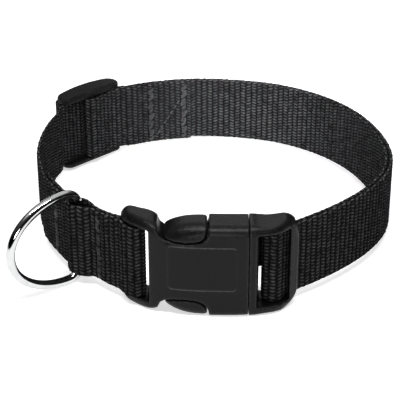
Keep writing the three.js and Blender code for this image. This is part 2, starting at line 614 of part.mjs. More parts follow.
// The finishes
const webbingBlack = new THREE.MeshStandardMaterial({ name: 'webbing', color: 0x1b1b1c, roughness: 0.92, metalness: 0 });
const socketBlack = new THREE.MeshStandardMaterial({ name: 'socket', color: 0x161617, roughness: 0.42, metalness: 0 });
const clipBlack = new THREE.MeshStandardMaterial({ name: 'clip', color: 0x171718, roughness: 0.42, metalness: 0 });
const sliderBlack = new THREE.MeshStandardMaterial({ name: 'slider', color: 0x121213, roughness: 0.45, metalness: 0 });
const chrome = new THREE.MeshStandardMaterial({ name: 'ring', color: 0xd9dadc, roughness: 0.08, metalness: 1 });

function piece(name, geometry, material) {
  const mesh = new THREE.Mesh(geometry, material);
  mesh.name = name;
  return mesh;
}

// The collar, standing on its lowest point with the middle of its box over the origin
const collar = new THREE.Group();
const ring = piece('d_ring', ringGeometry(), chrome);
ring.position.set(ringBar.x, ringBar.y, RING_MID_HEIGHT);
collar.add(
  piece('webbing', webbingGeometry(), webbingBlack),
  piece('buckle_socket', socketGeometry(), socketBlack),
  piece('buckle_clip', clipGeometry(), clipBlack),
  piece('slider', sliderGeometry(), sliderBlack),
  ring,
);
const box = new THREE.Box3().setFromObject(collar, true);
collar.position.set(-(box.min.x + box.max.x) / 2, -(box.min.y + box.max.y) / 2, -box.min.z);
collar.updateMatrixWorld(true);

export default collar;
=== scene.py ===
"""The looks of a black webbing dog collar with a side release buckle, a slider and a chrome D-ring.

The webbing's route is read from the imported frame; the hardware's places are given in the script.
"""

import logging
import math
from dataclasses import dataclass, field
from enum import Enum
from typing import Callable, Sequence

import bmesh
import bpy
import numpy as np
from mathutils import Matrix, Vector


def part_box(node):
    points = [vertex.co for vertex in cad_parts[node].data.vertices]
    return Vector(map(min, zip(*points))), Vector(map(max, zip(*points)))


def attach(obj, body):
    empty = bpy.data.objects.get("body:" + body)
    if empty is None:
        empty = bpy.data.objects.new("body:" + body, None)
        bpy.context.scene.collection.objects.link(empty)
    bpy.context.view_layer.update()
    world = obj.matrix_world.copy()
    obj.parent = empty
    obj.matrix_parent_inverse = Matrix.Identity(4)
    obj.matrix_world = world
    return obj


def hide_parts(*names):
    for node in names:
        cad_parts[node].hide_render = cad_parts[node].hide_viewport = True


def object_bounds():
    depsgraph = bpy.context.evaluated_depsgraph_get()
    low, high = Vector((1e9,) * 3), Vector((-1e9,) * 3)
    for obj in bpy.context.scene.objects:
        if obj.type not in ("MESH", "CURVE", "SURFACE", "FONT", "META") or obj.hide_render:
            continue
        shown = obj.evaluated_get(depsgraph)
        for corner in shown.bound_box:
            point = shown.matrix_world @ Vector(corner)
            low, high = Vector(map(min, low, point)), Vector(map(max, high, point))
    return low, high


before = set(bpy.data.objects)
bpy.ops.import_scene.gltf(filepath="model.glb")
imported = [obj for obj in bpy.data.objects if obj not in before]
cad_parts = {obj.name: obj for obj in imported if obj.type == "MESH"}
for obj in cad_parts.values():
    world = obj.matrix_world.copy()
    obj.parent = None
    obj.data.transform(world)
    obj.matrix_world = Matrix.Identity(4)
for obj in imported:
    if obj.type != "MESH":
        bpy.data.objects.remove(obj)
CAD_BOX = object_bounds()
BODY_COLLAR = "collar"
BODY_RING = "ring"
MM = 0.001
CORD_PITCH = 2.31 * MM
STATIONS_PER_CORD = 3
MERGE_WITHIN = 1e-7
CAD_MERGE_WITHIN = 1e-6
Colour = tuple[float, float, float]
Scales = tuple[float, float, float]
Contrast = tuple[float, float]
log = logging.getLogger("collar")


class Side(Enum):
    """Which face of the webbing a seam shows on: away from the neck or against it."""

    OUTER = 1
    INNER = -1


class Wire:
    """One number in a shader. Python's operators on it add Math nodes."""

    def __init__(self, shader: "Shader", socket: bpy.types.NodeSocket) -> None:
        """Keeps the socket and the shader that it belongs to."""
        self.shader = shader
        self.socket = socket

    def _math(self, operation: str, *others: "Wire | float") -> "Wire":
        """Adds one Math node that takes this value first.

        Args:
            operation: the Math node's operation.
            others: the values of its other sockets.

        Returns:
            The node's result.
        """
        return self.shader.math(operation, self, *others)

    def __add__(self, other: "Wire | float") -> "Wire":
        """Returns the sum."""
        return self._math("ADD", other)

    __radd__ = __add__

    def __mul__(self, other: "Wire | float") -> "Wire":
        """Returns the product."""
        return self._math("MULTIPLY", other)

    __rmul__ = __mul__

    def __sub__(self, other: "Wire | float") -> "Wire":
        """Returns this value less the other."""
        return self._math("SUBTRACT", other)

    def __rsub__(self, other: float) -> "Wire":
        """Returns the number less this value."""
        return self.shader.math("SUBTRACT", other, self)

    def __truediv__(self, other: "Wire | float") -> "Wire":
        """Returns this value over the other."""
        return self._math("DIVIDE", other)

    def __rtruediv__(self, other: float) -> "Wire":
        """Returns the number over this value."""
        return self.shader.math("DIVIDE", other, self)

    def __pow__(self, other: "Wire | float") -> "Wire":
        """Returns this value raised to the other."""
        return self._math("POWER", other)

    def floor(self) -> "Wire":
        """Returns the whole number below."""
        return self._math("FLOOR")

    def fract(self) -> "Wire":
        """Returns what is left over the whole number below."""
        return self._math("FRACT")

    def cosine(self) -> "Wire":
        """Returns the cosine."""
        return self._math("COSINE")

    def absolute(self) -> "Wire":
        """Returns the size without its sign."""
        return self._math("ABSOLUTE")

    def at_most(self, other: "Wire | float") -> "Wire":
        """Returns the smaller of the two."""
        return self._math("MINIMUM", other)

    def at_least(self, other: "Wire | float") -> "Wire":
        """Returns the larger of the two."""
        return self._math("MAXIMUM", other)

    def clamped(self) -> "Wire":
        """Returns the value kept from 0 to 1."""
        return self.at_least(0.0).at_most(1.0)

    def toned(self, contrast: Contrast) -> "Wire":
        """Returns the value times the contrast's gain, plus its shift."""
        return self * contrast[0] + contrast[1]


class NodeGraph:
    """A node tree that is being filled."""

    def __init__(self, tree: bpy.types.NodeTree) -> None:
        """Keeps the tree's nodes and links."""
        self.nodes = tree.nodes
        self.links = tree.links

    def node(
        self, kind: str, settings: dict | None = None, inputs: dict | None = None
    ) -> bpy.types.Node:
        """Adds any node.

        Args:
            kind: the node's type, such as ShaderNodeMath.
            settings: its properties, set before its sockets; stops sets a ramp's places and colours.
            inputs: a number, colour, Wire or socket for each input, by name or by place.

        Returns:
            The node.
        """
        node = self.nodes.new(kind)
        for key, value in (settings or {}).items():
            if key == "stops":
                self._set_stops(node, value)
            else:
                setattr(node, key, value)
        for key, value in (inputs or {}).items():
            self.feed(node.inputs[key], value)
        return node

    @staticmethod
    def _set_stops(node: bpy.types.Node, stops: Sequence[tuple[float, Sequence[float]]]) -> None:
        """Gives a colour ramp its stops.

        Args:
            node: the ramp's node.
            stops: a place and a colour for each stop.
        """
        elements = node.color_ramp.elements
        while len(elements) < len(stops):
            elements.new(0.5)
        for element, (place, colour) in zip(elements, stops):
            element.position = place
            element.color = colour

    def feed(self, socket: bpy.types.NodeSocket, value: object) -> None:
        """Links a Wire or a socket to an input, or sets the input's own value.

        Args:
            socket: the input.
            value: what it takes.
        """
        if isinstance(value, Wire):
            self.links.new(value.socket, socket)
        elif isinstance(value, bpy.types.NodeSocket):
            self.links.new(value, socket)
        else:
            socket.default_value = value


class Shader(NodeGraph):
    """A material under construction, with its Principled BSDF."""

    def __init__(self, name: str) -> None:
        """Starts a new material.

        Args:
            name: the material's name.
        """
        self.material = bpy.data.materials.new(name)
        self.material.use_nodes = True
        super().__init__(self.material.node_tree)
        self.bsdf = self.nodes["Principled BSDF"]

    def math(self, operation: str, *values: Wire | float) -> Wire:
        """Adds a Math node and returns its result as a Wire."""
        node = self.node("ShaderNodeMath", {"operation": operation}, dict(enumerate(values)))
        return Wire(self, node.outputs[0])

    def mix(
        self, share: Wire | float, low: Colour | bpy.types.NodeSocket, high: Colour | bpy.types.NodeSocket
    ) -> bpy.types.NodeSocket:
        """Blends two colours.

        Args:
            share: 0 for the low colour, 1 for the high one.
            low: the colour at 0, red, green and blue, or a colour socket.
            high: the colour at 1.

        Returns:
            The colour socket.
        """
        low, high = (
            colour if isinstance(colour, bpy.types.NodeSocket) else (*colour, 1.0) for colour in (low, high)
        )
        node = self.node("ShaderNodeMix", {"data_type": "RGBA"}, {0: share, 6: low, 7: high})
        return node.outputs[2]

    def object_point(self) -> bpy.types.NodeSocket:
        """Returns the surface's own coordinates, in metres."""
        return self.node("ShaderNodeTexCoord").outputs["Object"]

    def noise(self, vector: bpy.types.NodeSocket, scale: float, detail: float = 3.0) -> Wire:
        """Returns soft noise from 0 to 1, with scale waves to a metre."""
        inputs = {"Vector": vector, "Scale": scale, "Detail": detail}
        return Wire(self, self.node("ShaderNodeTexNoise", None, inputs).outputs[0])

    def split(self, vector: bpy.types.NodeSocket) -> list[Wire]:
        """Returns the three numbers of a vector."""
        parts = self.node("ShaderNodeSeparateXYZ", None, {0: vector})
        return [Wire(self, output) for output in parts.outputs]

    def scaled(self, vector: bpy.types.NodeSocket, factors: Scales) -> bpy.types.NodeSocket:
        """Returns the coordinates stretched by a factor for each axis."""
        return self.node("ShaderNodeMapping", None, {"Vector": vector, "Scale": factors}).outputs[0]

    def bump(self, height: Wire, distance: float, strength: float = 1.0) -> bpy.types.NodeSocket:
        """Returns the normal that a height gives, the distance being in metres."""
        inputs = {"Strength": strength, "Distance": distance, "Height": height}
        return self.node("ShaderNodeBump", None, inputs).outputs[0]

    def drive(self, **sockets: object) -> bpy.types.Material:
        """Feeds the Principled BSDF.

        Args:
            sockets: the value of each socket by its name, with an underscore for a space.

        Returns:
            The finished material.
        """
        for key, value in sockets.items():
            self.feed(self.bsdf.inputs[key.replace("_", " ")], value)
        return self.material


@dataclass(frozen=True)
class WovenFinish:
    """Black nylon webbing: yarns that float over cords running across the band.

    The scales are waves to a metre, and a contrast is a gain and a shift. The colour paints shade into the
    gaps between the cords, a highlight on the yarns' crowns and a highlight along the woven edges.
    """

    name: str = "webbing_weave"
    cord_middle: float = 0.22
    yarn_pitch: float = 1.25 * MM
    slant: float = 0.42
    relief: float = 0.32 * MM
    filament_scales: Scales = (900.0, 5200.0, 1.0)
    filament_relief: float = 0.10
    patch_scale: float = 260.0
    patch_contrast: Contrast = (1.5, 0.15)
    pick_scale: float = 820.0
    pick_contrast: Contrast = (3.0, -0.5)
    pick_floor: float = 0.15
    ridge_power: float = 1.1
    yarn_power: float = 1.6
    yarn_relief: Contrast = (0.72, 0.28)
    yarn_light: Contrast = (0.86, 0.14)
    gap_shade_colour: Colour = (0.0038, 0.0038, 0.0040)
    yarn_colour: Colour = (0.058, 0.058, 0.060)
    edge_highlight_colour: Colour = (0.140, 0.140, 0.144)
    edge_from: float = 12.3 * MM
    edge_width: float = 0.4 * MM
    edge_highlight_contrast: Contrast = (2.4, -0.5)
    roughness: float = 0.62
    yarn_polish: float = 0.2
    filament_roughness: float = 0.06
    gloss: float = 0.0

    def material(self) -> bpy.types.Material:
        """Makes the woven material, which reads the band's own UV map in metres.

        Returns:
            The material.
        """
        shader = Shader(self.name)
        uv = shader.node("ShaderNodeUVMap", {"uv_map": "weave"}).outputs[0]
        way, up, _ = shader.split(uv)
        along = way / CORD_PITCH
        cord = (along + (0.5 - self.cord_middle)).floor()
        place = along - cord - self.cord_middle
        parity = (cord * 0.5).fract() * 4.0 - 1.0
        turn = (up / self.yarn_pitch + parity * (place * self.slant + 0.25)) * (2.0 * math.pi)
        yarn = turn.cosine() * 0.5 + 0.5
        ridge = (place * math.pi).cosine().at_least(0.0)
        filaments = shader.noise(shader.scaled(uv, self.filament_scales), 1.0, 2.0)
        patches = shader.noise(shader.object_point(), self.patch_scale)
        picks = shader.noise(shader.object_point(), self.pick_scale, 1.0)
        height = ridge * yarn.toned(self.yarn_relief) + filaments * self.filament_relief
        # Painted highlight: the yarns' crowns are coloured lighter, as where light catches them.
        crown_highlights = ridge ** self.ridge_power * (yarn ** self.yarn_power).toned(self.yarn_light)
        speckle = picks.toned(self.pick_contrast).at_least(self.pick_floor)
        lit = crown_highlights * patches.toned(self.patch_contrast) * speckle
        # Painted shade: the gaps between the cords are coloured near black, and the crowns take the yarn
        # colour.
        woven = shader.mix(lit.at_most(1.0), self.gap_shade_colour, self.yarn_colour)
        # Painted highlight along the woven edges: the edge loops are coloured lighter, as where light catches
        # them.
        edge = ((up.absolute() - self.edge_from) / self.edge_width).clamped()
        loops = edge * ridge * yarn * patches.toned(self.edge_highlight_contrast).clamped()
        return shader.drive(
            Base_Color=shader.mix(loops, woven, self.edge_highlight_colour),
            Roughness=self.roughness - ridge * yarn * self.yarn_polish + filaments * self.filament_roughness,
            Normal=shader.bump(height, self.relief),
            Specular_IOR_Level=self.gloss,
        )


@dataclass(frozen=True)
class ThreadFinish:
    """Black bonded sewing thread, a little shinier than the webbing."""

    name: str = "sewing_thread"
    colour: Colour = (0.055, 0.055, 0.058)
    strand_colour: Colour = (0.006, 0.006, 0.0062)
    strand_scales: Scales = (4200.0, 4200.0, 900.0)
    strand_contrast: Contrast = (3.0, -1.0)
    strand_roughness: Contrast = (0.2, 0.5)
    fading_scale: float = 330.0
    fading_contrast: Contrast = (4.0, -1.4)
    relief: float = 0.05 * MM

    def material(self) -> bpy.types.Material:
        """Makes the thread's material, twisted by a fine noise.

        Returns:
            The material.
        """
        shader = Shader(self.name)
        point = shader.object_point()
        strands = shader.noise(shader.scaled(point, self.strand_scales), 1.0, 2.0)
        fading = shader.noise(point, self.fading_scale, 1.0).toned(self.fading_contrast)
        tone = (strands.toned(self.strand_contrast) * fading).clamped()
        return shader.drive(
            Base_Color=shader.mix(tone, self.strand_colour, self.colour),
            Roughness=strands.toned(self.strand_roughness),
            Normal=shader.bump(strands, self.relief),
        )


@dataclass(frozen=True)
class Panel:
    """The raised panel on the socket's front, with a painted highlight line along its edge."""

    left: float = -13.9 * MM
    right: float = 8.8 * MM
    low: float = 9.9 * MM
    high: float = 25.6 * MM
    corner: float = 1.7 * MM
    lift: float = 0.16 * MM
    slope: float = 0.35 * MM
    line_width: float = 0.32 * MM
    side_share: float = 0.03
    corner_share: float = 0.35
    front_of: float = -62.0 * MM

    def outside(self, x: float, z: float) -> float:
        """Measures how far a place on the front lies outside the panel.

        Args:
            x: the place across.
            z: its height.

        Returns:
            The distance, less than 0 inside the panel.
        """
        dx = abs(x - (self.left + self.right) / 2) - (self.right - self.left) / 2 + self.corner
        dz = abs(z - (self.low + self.high) / 2) - (self.high - self.low) / 2 + self.corner
        return math.hypot(max(dx, 0.0), max(dz, 0.0)) + min(max(dx, dz), 0.0) - self.corner

    def raised(self, x: float, z: float) -> float:
        """Returns how far the front stands out at a place."""
        share = min(max(0.5 - self.outside(x, z) / (2 * self.slope), 0.0), 1.0)
        return self.lift * share * share * (3 - 2 * share)

    def line(self, shader: Shader) -> Wire:
        """Draws the painted highlight line, strong above and below, where the step catches the light, and
        faint at the sides.

        Args:
            shader: the material that it goes into.

        Returns:
            1 on the line and 0 off it.
        """
        x, y, z = shader.split(shader.object_point())
        dx = (x - (self.left + self.right) / 2).absolute() - (self.right - self.left) / 2 + self.corner
        dz = (z - (self.low + self.high) / 2).absolute() - (self.high - self.low) / 2 + self.corner
        beyond = (dx.at_least(0.0) ** 2.0 + dz.at_least(0.0) ** 2.0) ** 0.5
        outside = beyond + shader.math("MAXIMUM", dx, dz).at_most(0.0) - self.corner
        near = (1.0 - outside.absolute() / self.line_width).at_least(0.0)
        level = ((dz - dx) / self.corner + self.corner_share).at_least(self.side_share).at_most(1.0)
        return near * level * shader.math("LESS_THAN", y, self.front_of)


@dataclass(frozen=True)
class MouldedPlastic:
    """Black injection moulded plastic with a fine eroded grain, lighter along its sharp edges by wear and by
    a painted highlight.
    """

    name: str
    panel: Panel | None = None
    colour: Colour = (0.0018, 0.0018, 0.0019)
    rubbed_colour: Colour = (0.0042, 0.0042, 0.0044)
    worn_colour: Colour = (0.042, 0.042, 0.043)
    line_highlight_colour: Colour = (0.075, 0.076, 0.078)
    roughness: float = 0.30
    patch_roughness: float = 0.14
    grain_roughness: Contrast = (0.08, -0.08)
    gloss: float = 0.14
    grain: float = 0.018 * MM
    grain_scale: float = 2600.0
    patch_scale: float = 75.0
    flow_scales: Scales = (60.0, 240.0, 240.0)
    flow_relief: float = 0.25
    mottle_scale: float = 1200.0
    mottle_relief: float = 8.0
    patch_share: float = 0.7
    wear_and_highlight_contrast: Contrast = (2.6, -0.8)
    line_highlight_contrast: Contrast = (1.6, -0.1)

    def material(self) -> bpy.types.Material:
        """Makes the plastic, duller and lighter in patches where hands rub it.

        Returns:
            The material, which reads the wear and the painted edge highlight that Solid.worn stores.
        """
        shader = Shader(self.name)
        point = shader.object_point()
        grain = shader.noise(point, self.grain_scale, 2.0)
        patches = shader.noise(point, self.patch_scale, 4.0)
        flow = shader.noise(shader.scaled(point, self.flow_scales), 1.0, 3.0)
        mottle = shader.noise(point, self.mottle_scale, 3.0)
        height = grain + flow * self.flow_relief + mottle * self.mottle_relief
        stored = shader.node("ShaderNodeAttribute", {"attribute_name": "edge_wear_and_highlight"})
        # Edges that stand out are coloured lighter: partly wear, partly a painted highlight.
        wear = (Wire(shader, stored.outputs["Fac"]) * mottle.toned(self.wear_and_highlight_contrast)).clamped()
        rubbing = patches * self.patch_share + grain * (1.0 - self.patch_share)
        colour = shader.mix(rubbing, self.colour, self.rubbed_colour)
        colour = shader.mix(wear, colour, self.worn_colour)
        if self.panel:
            # Painted highlight: a lighter line along the panel's edge, as where light catches its step.
            line = self.panel.line(shader) * mottle.toned(self.line_highlight_contrast).clamped()
            colour = shader.mix(line, colour, self.line_highlight_colour)
        return shader.drive(
            Base_Color=colour,
            Roughness=self.roughness + patches * self.patch_roughness + grain.toned(self.grain_roughness),
            Normal=shader.bump(height, self.grain),
            Specular_IOR_Level=self.gloss,
        )


@dataclass(frozen=True)
class ChromePlate:
    """Polished chrome on a bent steel wire, with hairline wear."""

    name: str = "chrome_plate"
    colour: Colour = (0.64, 0.645, 0.645)
    worn_colour: Colour = (0.50, 0.505, 0.505)
    wear_scale: float = 420.0
    hairline_scales: Scales = (900.0, 900.0, 6500.0)
    roughness: float = 0.015
    wear_roughness: float = 0.05
    hairline_roughness: float = 0.04
    wear_relief: float = 0.5
    relief: float = 0.004 * MM

    def material(self) -> bpy.types.Material:
        """Makes the chrome.

        Returns:
            The material.
        """
        shader = Shader(self.name)
        point = shader.object_point()
        wear = shader.noise(point, self.wear_scale, 5.0)
        hairlines = shader.noise(shader.scaled(point, self.hairline_scales), 1.0, 2.0)
        return shader.drive(
            Base_Color=shader.mix(wear, self.worn_colour, self.colour),
            Metallic=1.0,
            Roughness=wear * self.wear_roughness + hairlines * self.hairline_roughness + self.roughness,
            Normal=shader.bump(hairlines + wear * self.wear_relief, self.relief),
        )


@dataclass(frozen=True)
class PaleFloor:
    """A plain matt white studio floor, which glows a little round the collar."""

    name: str = "studio_floor"
    colour: Colour = (0.86, 0.86, 0.865)
    mottle: float = 0.01
    mottle_scale: float = 3.0
    glow: float = 0.58
    glow_colours: tuple[Colour, Colour] = ((1.0, 1.0, 1.0), (0.0, 0.0, 0.0))
    fade_from: float = 0.32
    fade_over: float = 0.5
    roughness: float = 0.9

    def material(self) -> bpy.types.Material:
        """Makes the floor's material, mottled too faintly to see as a pattern.

        Returns:
            The material.
        """
        shader = Shader(self.name)
        tone = shader.noise(shader.object_point(), self.mottle_scale)
        darker = tuple(channel - self.mottle for channel in self.colour)
        across, deep, _ = shader.split(shader.object_point())
        fade = (((across * across + deep * deep) ** 0.5 - self.fade_from) / self.fade_over).clamped()
        return shader.drive(
            Base_Color=shader.mix(tone, darker, self.colour),
            Roughness=self.roughness,
            Specular_IOR_Level=0.0,
            Emission_Color=shader.mix(fade, *self.glow_colours),
            Emission_Strength=self.glow,
        )


def evenly(first: float, last: float, steps: int) -> list[float]:
    """Returns the places from first to last at even steps, with both ends."""
    return [first + (last - first) * i / steps for i in range(steps + 1)]


def read_table(rows: Sequence[tuple[float, ...]], column: int, at: float) -> float:
    """Reads one column of a table smoothly, by its first column.

    Args:
        rows: the table, its first column rising.
        column: which column to read.
        at: the place in the first column.

    Returns:
        The value there.
    """
    keys = [row[0] for row in rows]
    values = [row[column] for row in rows]
    place = min(max(at, keys[0]), keys[-1])
    i = max(k for k in range(len(keys) - 1) if keys[k] <= place)

    def slope(j: int) -> float:
        """Returns the table's slope at a row, from its neighbours."""
        low, high = max(j - 1, 0), min(j + 1, len(keys) - 1)
        return (values[high] - values[low]) / (keys[high] - keys[low])

    span = keys[i + 1] - keys[i]
    t = (place - keys[i]) / span
    rise = 3 * t ** 2 - 2 * t ** 3
    start = span * slope(i) * (t ** 3 - 2 * t ** 2 + t)
    end = span * slope(i + 1) * (t ** 3 - t ** 2)
    return values[i] * (1 - rise) + values[i + 1] * rise + start + end


def finished(
    bm: bmesh.types.BMesh, name: str, material: bpy.types.Material, smooth: bool = True
) -> bpy.types.Object:
    """Turns a bmesh into an object at the origin.

    Args:
        bm: the mesh, freed afterwards.
        name: the object's name.
        material: its finish.
        smooth: whether its faces are shaded smooth.

    Returns:
        The object, linked to the scene.
    """
    mesh = bpy.data.meshes.new(name)
    bm.to_mesh(mesh)
    bm.free()
    mesh.materials.append(material)
    mesh.polygons.foreach_set("use_smooth", [smooth] * len(mesh.polygons))
    obj = bpy.data.objects.new(name, mesh)
    bpy.context.scene.collection.objects.link(obj)
    return obj


def apply_modifiers(obj: bpy.types.Object) -> None:
    """Makes an object's modifiers part of its mesh.

    Args:
        obj: the object, which is left without modifiers.
    """
    graph = bpy.context.evaluated_depsgraph_get()
    made = bpy.data.meshes.new_from_object(obj.evaluated_get(graph))
    obj.modifiers.clear()
    old = obj.data
    obj.data = made
    bpy.data.meshes.remove(old)


def loft(
    stations: int, around: int, place: Callable[[int, int], Vector], closed: bool = False
) -> bmesh.types.BMesh:
    """Makes a tube of quads from a grid, wrapped round a section at each station.

    Args:
        stations: how many sections there are.
        around: how many points each section has.
        place: the point for a station and a place round its section.
        closed: whether the last section meets the first.

    Returns:
        The mesh, with its ends filled unless it is closed.
    """
    bm = bmesh.new()
    spans = stations - 1 + closed
    bmesh.ops.create_grid(bm, x_segments=spans, y_segments=around, size=1.0)
    station = bm.verts.layers.int.new("station")
    turn = bm.verts.layers.int.new("around")
    for vert in bm.verts:
        i = round((vert.co.x + 1) / 2 * spans) % stations
        j = round((vert.co.y + 1) / 2 * around) % around
        vert[station] = i
        vert[turn] = j
        vert.co = place(i, j)
    bmesh.ops.remove_doubles(bm, verts=bm.verts, dist=MERGE_WITHIN)
    if not closed:
        rims = [edge for edge in bm.edges if edge.is_boundary]
        bmesh.ops.holes_fill(bm, edges=rims, sides=0)
    bmesh.ops.recalc_face_normals(bm, faces=bm.faces)
    return bm


def rounded_box_section(
    low: tuple[float, float], high: tuple[float, float], radii: Sequence[float], steps: int
) -> list[tuple[float, float]]:
    """Lists a rounded rectangle's points, the same number for any size.

    Args:
        low: its lowest corner.
        high: its highest corner.
        radii: the radius of the corners at high-high, low-high, low-low and high-low.
        steps: the steps round each corner.

    Returns:
        The points in order, counter-clockwise.
    """
    corners = (
        (high[0], high[1], 1, 1), (low[0], high[1], -1, 1),
        (low[0], low[1], -1, -1), (high[0], low[1], 1, -1),
    )
    limit = min(high[0] - low[0], high[1] - low[1]) * 0.499
    points = []
    for quarter, ((x, y, sx, sy), radius) in enumerate(zip(corners, radii)):
        r = min(radius, limit)
        for step in range(steps + 1):
            angle = (quarter + step / steps) * math.pi / 2
            points.append((x - sx * r + r * math.cos(angle), y - sy * r + r * math.sin(angle)))
    return points


class Band:
    """The webbing's middle line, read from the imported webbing, with its ways out and along."""

    rim_height = 0.1 * MM

    def __init__(self, node: str = "webbing", step: float = CORD_PITCH / STATIONS_PER_CORD) -> None:
        """Traces the node's lower edge and resamples its middle line.

        Args:
            node: the CAD node of the webbing.
            step: the distance between the samples.
        """
        low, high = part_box(node)
        self.low, self.high = low.z, high.z
        outline = self._outline(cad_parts[node])
        middle, self.thickness = self._middle(outline)
        ring = sum(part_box("d_ring"), Vector()) / 2
        if math.dist(middle[0], ring.xy) > math.dist(middle[-1], ring.xy):
            middle = middle[::-1]
        self.points = self._resample(middle, step)
        steps = np.linalg.norm(np.diff(self.points, axis=0), axis=1)
        self.at = np.concatenate([[0.0], np.cumsum(steps)])
        self.length = float(self.at[-1])
        self.step = step

    def _outline(self, node: bpy.types.Object) -> np.ndarray:
        """Walks round the node's lower edge.

        Args:
            node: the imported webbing's object.

        Returns:
            The edge's points in order.
        """
        bm = bmesh.new()
        bm.from_mesh(node.data)
        bmesh.ops.remove_doubles(bm, verts=bm.verts, dist=CAD_MERGE_WITHIN)
        level = self.low + self.rim_height
        rim = [
            edge for edge in bm.edges
            if max(vert.co.z for vert in edge.verts) < level
            and any(max(vert.co.z for vert in face.verts) > level for face in edge.link_faces)
        ]
        following: dict[bmesh.types.BMVert, list[bmesh.types.BMVert]] = {}
        for edge in rim:
            first, second = edge.verts
            following.setdefault(first, []).append(second)
            following.setdefault(second, []).append(first)
        start = rim[0].verts[0]
        walk, before = [start], None
        while True:
            onward = [vert for vert in following[walk[-1]] if vert is not before]
            before = walk[-1]
            if onward[0] is start:
                break
            walk.append(onward[0])
        points = np.array([vert.co.xy[:] for vert in walk])
        bm.free()
        return points

    @staticmethod
    def _middle(outline: np.ndarray) -> tuple[np.ndarray, float]:
        """Pairs the outline's two sides.

        Args:
            outline: the points of both sides in order round the band.

        Returns:
            The middle line and the band's thickness.
        """
        count = len(outline) // 2
        best = (math.inf, outline[:count], 0.0)
        for shift in range(count):
            turned = np.roll(outline, -shift, axis=0)
            one, other = turned[:count], turned[count:][::-1]
            widths = np.linalg.norm(one - other, axis=1)
            if widths.std() < best[0]:
                best = (widths.std(), (one + other) / 2, float(widths.mean()))
        return best[1], best[2]

    @staticmethod
    def _resample(points: np.ndarray, step: float) -> np.ndarray:
        """Lays a smooth curve through points and divides it evenly.

        Args:
            points: the points in order.
            step: the distance wanted between the new points.

        Returns:
            The new points.
        """
        chords = np.concatenate([[0.0], np.cumsum(np.linalg.norm(np.diff(points, axis=0), axis=1))])
        slopes = np.gradient(points, chords, axis=0)
        count = int(round(chords[-1] / step))
        wanted = np.linspace(0.0, chords[-1], count + 1)
        i = np.clip(np.searchsorted(chords, wanted, side="right") - 1, 0, len(points) - 2)
        span = (chords[i + 1] - chords[i])[:, None]
        t = ((wanted - chords[i])[:, None]) / span
        rise = 3 * t ** 2 - 2 * t ** 3
        bend = (t ** 3 - 2 * t ** 2 + t) * span * slopes[i] + (t ** 3 - t ** 2) * span * slopes[i + 1]
        return points[i] * (1 - rise) + points[i + 1] * rise + bend

    def _point_at(self, distance: float) -> Vector:
        """Returns the middle line's point at a distance along it, at height 0."""
        x, y = (float(np.interp(distance, self.at, self.points[:, axis])) for axis in (0, 1))
        return Vector((x, y, 0.0))

    def frame_at(self, distance: float) -> tuple[Vector, Vector, Vector]:
        """Finds a place on the middle line.

        Args:
            distance: how far along the band, from its end by the D-ring.

        Returns:
            The point, the way along the band and the way out of its left side, at height 0.
        """
        place = min(max(distance, 0.0), self.length)
        ahead = self._point_at(min(place + self.step, self.length))
        behind = self._point_at(max(place - self.step, 0.0))
        along = (ahead - behind).normalized()
        return self._point_at(place), along, Vector((-along.y, along.x, 0.0))

    def outward(self, distance: float) -> Vector:
        """Finds the way out of the band on the side away from the neck.

        Args:
            distance: how far along the band.

        Returns:
            The way out, level and of length 1.
        """
        point, _, left = self.frame_at(distance)
        centre = (CAD_BOX[0] + CAD_BOX[1]) / 2
        return left if left.dot(point - Vector((centre.x, centre.y, 0.0))) > 0 else -left

    def outermost(self, place: Sequence[float], reach: float = 4.5 * MM) -> float:
        """Finds the outermost layer near a place.

        Args:
            place: a place on the plan.
            reach: how far from it the band may pass.

        Returns:
            The distance along the band.
        """
        gaps = np.linalg.norm(self.points - np.array(place), axis=1)
        centre = ((CAD_BOX[0] + CAD_BOX[1]) / 2).xy
        out = np.linalg.norm(self.points - np.array(centre), axis=1) - gaps / 2
        out[gaps > reach] = -math.inf
        return float(self.at[int(out.argmax())])

    def on_face(self, distance: float, height: float, side: Side, lift: float) -> Vector:
        """Finds a place on one face of the band.

        Args:
            distance: how far along the band.
            height: the height over the floor.
            side: the face.
            lift: how far off the face.

        Returns:
            The place.
        """
        point, _, _ = self.frame_at(distance)
        out = self.outward(distance) * side.value
        return point + out * (self.thickness / 2 + lift) + Vector((0.0, 0.0, height))


